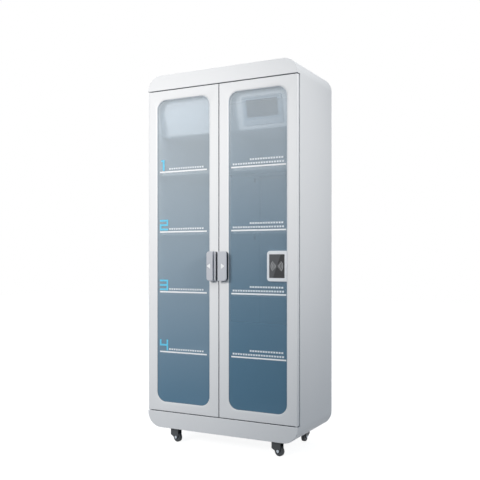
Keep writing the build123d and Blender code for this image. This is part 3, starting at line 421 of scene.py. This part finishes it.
PAINT_DEPTH = 0.04 * MM
MOULDED_DEPTH = 0.03 * MM
FINE_DEPTH = 0.01 * MM
INK_DEPTH = 0.005 * MM


def painted(name, colour, roughness=0.42, pebble=900.0, depth=PAINT_DEPTH):
    return finish_material(name, POWDER_GAP_SHADE, "Pebble Scale", pebble, colour, roughness, depth)


def moulded(name, colour, roughness=0.5, grain=2200.0, depth=MOULDED_DEPTH):
    return finish_material(name, MOULDED, "Grain Scale", grain, colour, roughness, depth)


def brushed(name, colour, roughness, lines=1500.0):
    return finish_material(
        name, BRUSHED, "Line Scale", lines, colour, roughness, FINE_DEPTH, metallic=1.0
    )


def faded_grain(tree, shader, group, roughness, depth, **fade_values):
    """Grain group whose colour fades with height."""
    fade = place_group(tree, FADE, **fade_values)
    grain = place_group(tree, group, Roughness=roughness)
    tree.links.new(fade.outputs["Color"], grain.inputs["Color"])
    grain_to_shader(tree, shader, grain, depth)


PANE_COVER_AT_FOOT = 0.56
PANE_COVER_CHANGE = -0.3


def pane_material(side_name, low_colour, high_colour, curve):
    """Tinted safety glass with a soft sheen, clearer at the top, its colour a painted shade that
    goes from pale at the top to deep blue at the foot.
    """
    material, tree, shader = bare_material(f"pane_tint_painted_shade_{side_name}", IOR=1.3)
    # Painted shade: the colour darkens towards the foot, standing in for the interior's light
    # falling off downwards.
    fade = place_group(
        tree, FADE, Low_Height=WINDOW_FOOT, High_Height=WINDOW_TOP, Curve=curve,
        Low_Color=low_colour, High_Color=high_colour,
    )
    tree.links.new(fade.outputs["Color"], shader.inputs["Base Color"])
    change = math_node(tree, "MULTIPLY", fade.outputs["Share"], PANE_COVER_CHANGE)
    cover = math_node(tree, "ADD", change, PANE_COVER_AT_FOOT)
    tree.links.new(cover, shader.inputs["Alpha"])
    wiped_sheen(tree, shader, roughness=0.24, amount=0.14)
    return material


def gasket_material():
    """Grey sealing rubber with painted shade: darker towards the foot and paler towards the top,
    like the glass that it holds.
    """
    material, tree, shader = bare_material("gasket_rubber_painted_shade")
    faded_grain(
        tree, shader, MOULDED, 0.65, MOULDED_DEPTH,
        Low_Height=WINDOW_FOOT, High_Height=WINDOW_TOP,
        Low_Color=tone(104, 126, 142), High_Color=tone(216, 226, 234),
    )
    return material


# Heights over which painted shade darkens the liner towards the floor.
LINER_SHADE_FOOT = 0.2
LINER_SHADE_TOP = 1.6


def liner_material():
    """Pale interior paint with painted shade, darker towards the floor."""
    material, tree, shader = bare_material("liner_paint_painted_shade")
    faded_grain(
        tree, shader, POWDER_GAP_SHADE, 0.45, PAINT_DEPTH,
        Low_Height=LINER_SHADE_FOOT, High_Height=LINER_SHADE_TOP,
        Low_Color=tone(160, 186, 206), High_Color=tone(232, 243, 253),
    )
    return material


READER_SHEEN_SLANT = 0.36
READER_SHEEN_SHARPNESS = 600.0


def reader_window_material():
    """Black gloss window with a painted reflection: its upper left half is a lighter sheen, split
    from the darker lower right on a slant.
    """
    material, tree, shader = bare_material("reader_black", Coat_Weight=0.2)
    centre = centre_of("reader_window")
    place = object_axes(tree)
    across = math_node(tree, "SUBTRACT", place["X"], centre.x)
    rise = math_node(tree, "SUBTRACT", place["Z"], centre.z)
    lean = math_node(tree, "MULTIPLY", rise, READER_SHEEN_SLANT)
    beyond = math_node(tree, "SUBTRACT", across, lean)
    edge = math_node(tree, "MULTIPLY", beyond, READER_SHEEN_SHARPNESS)
    side = math_node(tree, "ADD", edge, 0.5, clamp=True)
    # Painted reflection: the lighter tone on the upper left stands in for a sheen of light.
    colour = mix_colour(tree, side, tone(76, 78, 82), tone(34, 37, 41))
    tree.links.new(colour, shader.inputs["Base Color"])
    wiped_sheen(tree, shader, roughness=0.08, amount=0.1, smear_scale=40.0)
    return material


SCREEN_BORDER_SIDE = 11 * MM
SCREEN_BORDER_TOP = 11.5 * MM
SCREEN_EDGE_SHARPNESS = 1500.0


def inside_band(tree, place, middle, half):
    """1 within half of the middle and 0 beyond, with a crisp edge."""
    away = math_node(tree, "ABSOLUTE", math_node(tree, "SUBTRACT", place, middle))
    room = math_node(tree, "SUBTRACT", half, away)
    edge = math_node(tree, "MULTIPLY", room, SCREEN_EDGE_SHARPNESS)
    return math_node(tree, "ADD", edge, 0.5, clamp=True)


def screen_material():
    """Dark display glass with a paler border printed round the active area."""
    material, tree, shader = bare_material("screen_glass", Coat_Weight=0.4)
    centre = centre_of("display_screen")
    half = high("display_screen") - centre
    place = object_axes(tree)
    wide = inside_band(tree, place["X"], centre.x, half.x - SCREEN_BORDER_SIDE)
    tall = inside_band(tree, place["Z"], centre.z, half.z - SCREEN_BORDER_TOP)
    active = math_node(tree, "MULTIPLY", wide, tall)
    shade = mix_colour(tree, active, tone(158, 180, 200), tone(26, 54, 80))
    tree.links.new(shade, shader.inputs["Base Color"])
    wiped_sheen(tree, shader, roughness=0.1, amount=0.12, smear_scale=30.0)
    return material


GRANULE_SCALE = 260.0
GRANULE_DEPTH = 0.8 * MM


def filter_material():
    """Granular black carbon."""
    material, tree, shader = bare_material("carbon_granules", Roughness=0.85)
    granules = cell_distance(tree, GRANULE_SCALE)
    shade = mix_colour(tree, granules, tone(22, 22, 24), tone(58, 58, 62))
    tree.links.new(shade, shader.inputs["Base Color"])
    bump(tree, shader, granules, GRANULE_DEPTH)
    return material


FORK_CHEEK_OUTSIDE = 13.6 * MM
RIVET_REACH = 17.3 * MM
RIVET_METALLIC = 0.35


def vector_math(tree, operation, first, second=None):
    node = add_node(tree, "ShaderNodeVectorMath", operation=operation)
    tree.links.new(first, node.inputs[0])
    if second is not None:
        node.inputs[1].default_value = second
    return node.outputs


def caster_fork_material(place_name):
    """Black fork paint with the zinc rivet heads picked out round the axle."""
    material, tree, shader = bare_material(f"fork_{place_name}")
    middle, axle = axle_of(place_name)
    coat = place_group(tree, POWDER_GAP_SHADE, Color=tone(54, 59, 63), Roughness=0.42)
    from_middle = vector_math(tree, "SUBTRACT", object_place(tree), middle)["Vector"]
    along = vector_math(tree, "DOT_PRODUCT", from_middle, axle)["Value"]
    reach = vector_math(tree, "LENGTH", from_middle)["Value"]
    sideways = math_node(tree, "ABSOLUTE", along)
    outside = math_node(tree, "GREATER_THAN", sideways, FORK_CHEEK_OUTSIDE)
    near = math_node(tree, "LESS_THAN", reach, RIVET_REACH)
    rivet = math_node(tree, "MULTIPLY", outside, near)
    colour = mix_colour(tree, rivet, coat.outputs["Color"], tone(214, 222, 230))
    metallic = math_node(tree, "MULTIPLY", rivet, RIVET_METALLIC)
    tree.links.new(metallic, shader.inputs["Metallic"])
    grain_to_shader(tree, shader, coat, MOULDED_DEPTH, colour)
    return material


# ---------------------------------------------------------------- finishes of the CAD nodes

SHELL = painted("shell_white", tone(241, 242, 243))
LINER = liner_material()
SHELF = painted("shelf_white", tone(226, 233, 238))
HOOD = painted("hood_white", tone(234, 244, 254))
INNER_DOOR = painted("inner_door_white", tone(228, 231, 234))
GRILLE = painted("grille_grey", tone(196, 200, 204), roughness=0.45)
CASTER_PLATE = painted("caster_plate", tone(150, 152, 156), roughness=0.4)
HANDLE_SILVER = painted(
    "handle_silver", tone(203, 205, 211), roughness=0.34, pebble=2500.0, depth=FINE_DEPTH
)

# Painted shade: the right pane is a darker copy of the left, as the light falls from the left.
PANE_LEFT = pane_material("left", tone(121, 162, 189), tone(243, 251, 255), curve=1.15)
PANE_RIGHT_SHADED = pane_material("right", tone(109, 153, 181), tone(240, 250, 255), curve=2.1)
READER_BLACK_SHEEN = reader_window_material()
SCREEN = screen_material()

GASKET = gasket_material()
SEAL = moulded("seal_dark", tone(52, 58, 70), roughness=0.7)
HANDLE_DARK = moulded("handle_dark", tone(20, 25, 38), roughness=0.45)
READER_WHITE = moulded("reader_white", tone(236, 239, 243), roughness=0.3, depth=FINE_DEPTH)
DISPLAY_GREY = moulded("display_grey", tone(184, 200, 216), roughness=0.45)
CARBON = filter_material()
FAN_BLACK = moulded("fan_black", tone(26, 26, 28))
INLET_BLACK = moulded("inlet_black", tone(20, 20, 22))
NYLON = moulded("bush_nylon", tone(232, 231, 224))
TYRE = moulded("caster_tyre", tone(50, 54, 58), roughness=0.55, grain=900.0)
HUB_GREY = moulded("hub_grey", tone(70, 75, 80), roughness=0.45)

ZINC = brushed("zinc_plate", tone(190, 192, 194), roughness=0.34)
LOCK_METAL = brushed("lock_metal", tone(205, 207, 209), roughness=0.3)

PRINT_WHITE = moulded("print_white", tone(252, 253, 254), depth=INK_DEPTH)
PRINT_PALE = moulded("print_pale", tone(232, 238, 243), depth=INK_DEPTH)
PRINT_CYAN = moulded("print_cyan", tone(101, 206, 240), depth=INK_DEPTH)
ARC_GREY = moulded("arc_grey", tone(156, 158, 160), depth=INK_DEPTH)

# The finish of each node, by the start of its name. The first that matches is used.
FINISHES = {
    "top_cover": SHELL,
    "base_cover": SHELL,
    "side_panel": SHELL,
    "back_panel": SHELL,
    "door_skin": SHELL,
    "door_pan_": INNER_DOOR,
    "door_pane_left": PANE_LEFT,
    "door_pane_right": PANE_RIGHT_SHADED,
    "pane_gasket": GASKET,
    "door_seal": SEAL,
    "pivot_bushes": NYLON,
    "pivot_pins": ZINC,
    "strike_plate": ZINC,
    "door_locks": LOCK_METAL,
    "handle_plate": HANDLE_SILVER,
    "handle_base": HANDLE_DARK,
    "reader_housing": READER_WHITE,
    "reader_window": READER_BLACK_SHEEN,
    "liner_": LINER,
    "centre_divider": LINER,
    "shelf_clips": ZINC,
    "shelf_": SHELF,
    "hood_cover": HOOD,
    "carbon_filter": CARBON,
    "fan_": FAN_BLACK,
    "display_cover": DISPLAY_GREY,
    "display_screen": SCREEN,
    "power_inlet": INLET_BLACK,
    "exhaust_grille": GRILLE,
    "case_screws": ZINC,
    "caster_plates": CASTER_PLATE,
    "caster_wheel": TYRE,
}
for caster in CASTERS:
    FINISHES[f"caster_fork_{caster}"] = caster_fork_material(caster)

WELD_DISTANCE = 0.01 * MM
SHARP_EDGE = radians(32)
FACE_AREA_WEIGHT = 100


def finish_for(node):
    return next(material for start, material in FINISHES.items() if node.startswith(start))


def keep_sharp_edges(obj, angle):
    obj.modifiers.new("sharp_edges", "EDGE_SPLIT").split_angle = angle


def dress_nodes():
    """Give each CAD node its finish and smooth shading that keeps its sharp edges."""
    for name, obj in NODES.items():
        obj.data.materials.clear()
        obj.data.materials.append(finish_for(name))
        for face in obj.data.polygons:
            face.use_smooth = True
        obj.modifiers.new("weld", "WELD").merge_threshold = WELD_DISTANCE
        keep_sharp_edges(obj, SHARP_EDGE)
        obj.modifiers.new("even_faces", "WEIGHTED_NORMAL").weight = FACE_AREA_WEIGHT


dress_nodes()

# ---------------------------------------------------------------- new pieces


def object_from(bm, name, material):
    """Object at the origin from a finished bmesh."""
    mesh = bpy.data.meshes.new(name)
    bm.to_mesh(mesh)
    bm.free()
    mesh.materials.append(material)
    obj = bpy.data.objects.new(name, mesh)
    bpy.context.collection.objects.link(obj)
    return obj


def new_piece(name, bm, material, body):
    """Piece from a finished bmesh, riding on a body."""
    bmesh.ops.recalc_face_normals(bm, faces=bm.faces[:])
    obj = object_from(bm, name, material)
    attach(obj, body)
    return obj


def spread(verts, axis):
    """Lowest and highest place of the vertices along an axis."""
    places = [vert.co[axis] for vert in verts]
    return min(places), max(places)


X, Y, Z = 0, 1, 2

# ---------------------------------------------------------------- prints on the panes

PRINT_THICKNESS = 0.25 * MM
PRINT_BACK = PANE_FACE - 0.02 * MM


def add_print(bm, x0, x1, middle_z, height):
    """Thin upright slab on the front of a pane."""
    size = Vector((x1 - x0, PRINT_THICKNESS, height))
    middle = Vector(((x0 + x1) / 2, PRINT_BACK - PRINT_THICKNESS / 2, middle_z))
    place = Matrix.Translation(middle) @ Matrix.Diagonal((*size, 1.0))
    bmesh.ops.create_cube(bm, size=1.0, matrix=place)


BAR_HEIGHT = 7 * MM
BAR_MIDDLES = [top - 5 * MM for top in SHELF_TOPS]
BAR_ENDS = {
    "door_left": (-353.7 * MM, -71.7 * MM),
    "door_right": (68.1 * MM, 363.6 * MM),
}


def level_bars():
    """White level line on each pane, in front of each shelf."""
    for body, (x0, x1) in BAR_ENDS.items():
        bm = bmesh.new()
        for bar in BAR_MIDDLES:
            add_print(bm, x0, x1, bar, BAR_HEIGHT)
        new_piece(f"{body}_level_bars", bm, PRINT_WHITE, body)


DASH_WIDTH = 10 * MM
DASH_HEIGHT = 8.5 * MM
DASH_PITCH = 14 * MM
# Rows of dashes above each level line: left end, right end, height above the line.
DASH_ROWS = {
    "door_left": ((-297 * MM, -85 * MM, 15 * MM),),
    "door_right": ((76 * MM, 360 * MM, 15 * MM), (170 * MM, 360 * MM, 34 * MM)),
}


def level_dashes():
    """Plain dashed rules above each level line."""
    for body, rows in DASH_ROWS.items():
        bm = bmesh.new()
        for bar in BAR_MIDDLES:
            for x0, x1, rise in rows:
                for i in range(int((x1 - x0) / DASH_PITCH)):
                    left = x0 + i * DASH_PITCH
                    add_print(bm, left, left + DASH_WIDTH, bar + rise, DASH_HEIGHT)
        new_piece(f"{body}_level_dashes", bm, PRINT_PALE, body)


NUMERAL_LEFT = -354.5 * MM
NUMERAL_WIDTH = 51 * MM
NUMERAL_HEIGHT = 55 * MM
NUMERAL_STROKE = 9.5 * MM
NUMERAL_ABOVE_BAR = 8 * MM
ONE_LEFT = NUMERAL_LEFT + 13.5 * MM - NUMERAL_STROKE / 2
ONE_WIDTH = 20 * MM + NUMERAL_STROKE
# Filled cells of each numeral on a grid of three columns and five rows, bottom row first.
NUMERAL_CELLS = {
    1: ("010", "010", "010", "010", "110"),
    2: ("111", "100", "111", "001", "111"),
    3: ("111", "001", "111", "001", "111"),
    4: ("001", "001", "111", "101", "101"),
}


def squared_numeral(bm, digit, x0, z0, width):
    """Numeral from a grid of cells whose outer columns and odd rows are one stroke wide."""
    stroke = NUMERAL_STROKE
    between = (NUMERAL_HEIGHT - 3 * stroke) / 2
    columns = (0, stroke, width - stroke, width)
    rows = (
        0, stroke, stroke + between, 2 * stroke + between,
        NUMERAL_HEIGHT - stroke, NUMERAL_HEIGHT,
    )
    across, up = len(columns) - 1, len(rows) - 1
    grid = bmesh.ops.create_grid(bm, x_segments=across, y_segments=up, size=0.5)["verts"]
    for vert in grid:
        column = round((vert.co.x + 0.5) * across)
        row = round((vert.co.y + 0.5) * up)
        vert.co = Vector((x0 + columns[column], PRINT_BACK, z0 + rows[row]))
    empty = []
    for face in {face for vert in grid for face in vert.link_faces}:
        centre = face.calc_center_median()
        column = sum(centre.x > x0 + edge for edge in columns[1:-1])
        row = sum(centre.z > z0 + edge for edge in rows[1:-1])
        if NUMERAL_CELLS[digit][row][column] == "0":
            empty.append(face)
    bmesh.ops.delete(bm, geom=empty, context="FACES")


def level_numerals():
    """Plain numbers 1 to 4 on the left pane, counted from the top."""
    bm = bmesh.new()
    for digit, bar in enumerate(reversed(BAR_MIDDLES), start=1):
        x0, width = (ONE_LEFT, ONE_WIDTH) if digit == 1 else (NUMERAL_LEFT, NUMERAL_WIDTH)
        squared_numeral(bm, digit, x0, bar + NUMERAL_ABOVE_BAR, width)
    bmesh.ops.solidify(bm, geom=bm.faces[:], thickness=PRINT_THICKNESS)
    back = spread(bm.verts, Y)[1]
    bmesh.ops.translate(bm, verts=bm.verts[:], vec=(0, PRINT_BACK - back, 0))
    new_piece("level_numerals", bm, PRINT_CYAN, "door_left")


level_bars()
level_dashes()
level_numerals()

# ---------------------------------------------------------------- handles and card reader

ARROW_WIDTH = 19.5 * MM
ARROW_HEIGHT = 28.4 * MM
ARROW_THICKNESS = 0.6 * MM
ARROW_BEYOND_DISH_CENTRE = 4.8 * MM
DISH_CENTRE_X = {"left": -39 * MM, "right": 32 * MM}
DISH_DEPTH = 0.8 * MM


def handle_arrow(side_name, sign):
    """White triangle in the round dish of a handle, pointing outwards."""
    plate = f"handle_plate_{side_name}"
    centre_x = DISH_CENTRE_X[side_name] + sign * ARROW_BEYOND_DISH_CENTRE
    centre = Vector((centre_x, low(plate).y + DISH_DEPTH, centre_of(plate).z))
    bm = bmesh.new()
    bmesh.ops.create_circle(bm, cap_ends=True, segments=3, radius=1.0)
    turn = Matrix.Rotation(pi / 2, 4, "X") @ Matrix.Rotation(-sign * pi / 2, 4, "Z")
    bmesh.ops.transform(bm, matrix=turn, verts=bm.verts[:])
    left, right = spread(bm.verts, X)
    bottom, top = spread(bm.verts, Z)
    bmesh.ops.translate(bm, vec=(-(left + right) / 2, 0, 0), verts=bm.verts[:])
    size = (ARROW_WIDTH / (right - left), 1, ARROW_HEIGHT / (top - bottom))
    bmesh.ops.scale(bm, vec=size, verts=bm.verts[:])
    bmesh.ops.translate(bm, vec=centre, verts=bm.verts[:])
    sheet = bmesh.ops.extrude_face_region(bm, geom=bm.faces[:])
    raised = [item for item in sheet["geom"] if isinstance(item, bmesh.types.BMVert)]
    bmesh.ops.translate(bm, verts=raised, vec=(0, -ARROW_THICKNESS, 0))
    body = f"door_{side_name}"
    new_piece(f"handle_arrow_{side_name}", bm, PRINT_WHITE, body)


handle_arrow("left", -1)
handle_arrow("right", 1)

ARC_RADII = (8 * MM, 15.5 * MM, 23 * MM, 30.5 * MM)
ARC_WIDTH = 3.6 * MM
ARC_HALF_ANGLE = radians(46)
ARC_THICKNESS = 0.2 * MM
ARC_STEPS = 20


def reader_arcs():
    """Plain arcs each side of the middle of the reader window."""
    centre = centre_of("reader_window")
    face = low("reader_window").y
    start = Matrix.Rotation(-ARC_HALF_ANGLE, 4, "Y")
    bm = bmesh.new()
    for sign in (-1, 1):
        for radius in ARC_RADII:
            inner, outer = radius - ARC_WIDTH / 2, radius + ARC_WIDTH / 2
            corners = ((inner, 0), (outer, 0), (outer, -ARC_THICKNESS), (inner, -ARC_THICKNESS))
            verts = [bm.verts.new(start @ Vector((sign * r, y, 0))) for r, y in corners]
            bmesh.ops.spin(
                bm, geom=[bm.faces.new(verts)], cent=(0, 0, 0), axis=(0, 1, 0),
                angle=2 * ARC_HALF_ANGLE, steps=ARC_STEPS, use_merge=False,
            )
    bmesh.ops.translate(bm, verts=bm.verts[:], vec=(centre.x, face, centre.z))
    new_piece("reader_arcs", bm, ARC_GREY, "door_right")


reader_arcs()

# ---------------------------------------------------------------- caster wheels

WHEEL_SEGMENTS = 72
WHEEL_HALF_WIDTH = 10 * MM
WHEEL_SHARP_EDGE = radians(40)
HUB_REACH = 17.9 * MM
# Side of the wheel from its bore outwards, in mm: radius, and how far in from the side face.
WHEEL_SIDE = (
    (4.1, 0), (8.0, 0),          # boss
    (8.6, 2.2), (15.5, 2.4),     # dished hub
    (16.4, 0.6), (17.6, 0.5),    # rim
    (18.2, 1.2), (18.9, 0.5),    # groove between rim and tyre
    (21.5, 0.4), (23.6, 1.3),    # tyre wall
)
TREAD_EASED = 0.3 * MM
SHOULDER_IN = 3.2 * MM
TREAD_IN = 5.5 * MM


def caster_wheel(place_name):
    """Wheel turned from its half section: rounded tread, side groove, dished hub and boss."""
    node = f"caster_wheel_{place_name}"
    middle, axle = axle_of(place_name)
    radius = (high(node).z - low(node).z) / 2
    half = WHEEL_HALF_WIDTH
    section = [(reach * MM, half - inward * MM) for reach, inward in WHEEL_SIDE]
    section += [(radius - TREAD_EASED, half - SHOULDER_IN), (radius, half - TREAD_IN)]
    profile = section + [(radius, 0)] + [(r, -h) for r, h in reversed(section)]
    bm = bmesh.new()
    verts = [bm.verts.new((r, 0, h)) for r, h in profile]
    loop = verts + [verts[0]]
    edges = [bm.edges.new(pair) for pair in zip(loop, loop[1:])]
    bmesh.ops.spin(
        bm, geom=edges, cent=(0, 0, 0), axis=(0, 0, 1),
        angle=2 * pi, steps=WHEEL_SEGMENTS, use_merge=True,
    )
    turn = Vector((0, 0, 1)).rotation_difference(axle).to_matrix().to_4x4()
    bmesh.ops.transform(bm, matrix=Matrix.Translation(middle) @ turn, verts=bm.verts[:])
    body = f"wheel_{place_name}"
    obj = new_piece(f"wheel_{place_name}_tread", bm, TYRE, body)
    obj.data.materials.append(HUB_GREY)
    for face in obj.data.polygons:
        face.use_smooth = True
        away = Vector(face.center) - middle
        if (away - axle * away.dot(axle)).length < HUB_REACH:
            face.material_index = 1
    keep_sharp_edges(obj, WHEEL_SHARP_EDGE)
    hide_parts(node)


for caster in CASTERS:
    caster_wheel(caster)

# ---------------------------------------------------------------- floor, light and world

WHITE = (1, 1, 1, 1)
FLOOR_HALF_SIZE = 12
FLOOR_SHADE = (0.4, 0.4, 0.4, 1)
FLOOR_GLOW = 0.9
FLOOR_BOUNCE = (0.18, 0.21, 0.25, 1)
SURROUND_TONE = (0.8, 0.9, 1.0, 1)
SURROUND_STRENGTH = 0.42


def shader_node(tree, kind, colour, strength=None):
    node = add_node(tree, kind)
    node.inputs["Color"].default_value = colour
    if strength is not None:
        node.inputs["Strength"].default_value = strength
    return node.outputs[0]


def seen_directly(tree):
    """1 for rays from the camera, mirrored in a surface or passed through glass."""
    rays = add_node(tree, "ShaderNodeLightPath").outputs
    either = math_node(tree, "MAXIMUM", rays["Is Camera Ray"], rays["Is Glossy Ray"])
    return math_node(tree, "MAXIMUM", either, rays["Is Transmission Ray"])


def white_where_seen(tree, output_kind, lighting, white):
    """Show white where seen directly, and light the cabinet with the other shader."""
    blend = add_node(tree, "ShaderNodeMixShader")
    tree.links.new(seen_directly(tree), blend.inputs[0])
    tree.links.new(lighting, blend.inputs[1])
    tree.links.new(white, blend.inputs[2])
    output = add_node(tree, output_kind)
    tree.links.new(blend.outputs[0], output.inputs["Surface"])


def stage_floor():
    """Pale floor that is seen as white, and that still takes the cabinet's shadow."""
    material = bpy.data.materials.new("floor_white")
    material.use_nodes = True
    tree = material.node_tree
    tree.nodes.clear()
    white = add_node(tree, "ShaderNodeAddShader")
    shadowed = shader_node(tree, "ShaderNodeBsdfDiffuse", FLOOR_SHADE)
    tree.links.new(shadowed, white.inputs[0])
    glow = shader_node(tree, "ShaderNodeEmission", WHITE, FLOOR_GLOW)
    tree.links.new(glow, white.inputs[1])
    bounce = shader_node(tree, "ShaderNodeBsdfDiffuse", FLOOR_BOUNCE)
    white_where_seen(tree, "ShaderNodeOutputMaterial", bounce, white.outputs[0])
    bm = bmesh.new()
    bmesh.ops.create_grid(bm, x_segments=1, y_segments=1, size=FLOOR_HALF_SIZE)
    object_from(bm, "floor", material)


def studio_world():
    """Cool soft surround that lights the cabinet and is itself seen as white."""
    world = bpy.data.worlds.new("studio")
    bpy.context.scene.world = world
    world.use_nodes = True
    tree = world.node_tree
    tree.nodes.clear()
    soft = shader_node(tree, "ShaderNodeBackground", SURROUND_TONE, SURROUND_STRENGTH)
    white = shader_node(tree, "ShaderNodeBackground", WHITE, 1.0)
    white_where_seen(tree, "ShaderNodeOutputWorld", soft, white)


def studio_spot(name, place, aim, watts, cone, radius, colour):
    """Soft spot lamp. Its cone is in degrees and its radius in metres."""
    data = bpy.data.lights.new(name, "SPOT")
    data.energy = watts
    data.color = colour
    data.spot_size = radians(cone)
    data.spot_blend = 1.0
    data.shadow_soft_size = radius
    lamp = bpy.data.objects.new(name, data)
    lamp.location = place
    direction = Vector(aim) - Vector(place)
    lamp.rotation_euler = direction.to_track_quat("-Z", "Y").to_euler()
    bpy.context.collection.objects.link(lamp)


stage_floor()
studio_world()
studio_spot(
    "key_upper_left", place=(-1.3, -4.1, 2.5), aim=(-0.75, -0.2, 1.3),
    watts=548, cone=54, radius=0.8, colour=(1.0, 0.96, 0.92),
)
studio_spot(
    "side_upper_right", place=(3.8, -1.0, 2.8), aim=(0.42, -0.45, 1.5),
    watts=325, cone=41, radius=0.5, colour=(1.0, 0.97, 0.94),
)
studio_spot(
    "back_left", place=(-3.4, 3.6, 2.4), aim=(0.0, 0.2, 1.1),
    watts=230, cone=60, radius=0.8, colour=(1.0, 1.0, 1.0),
)

bpy.context.scene.view_settings.view_transform = "Standard"
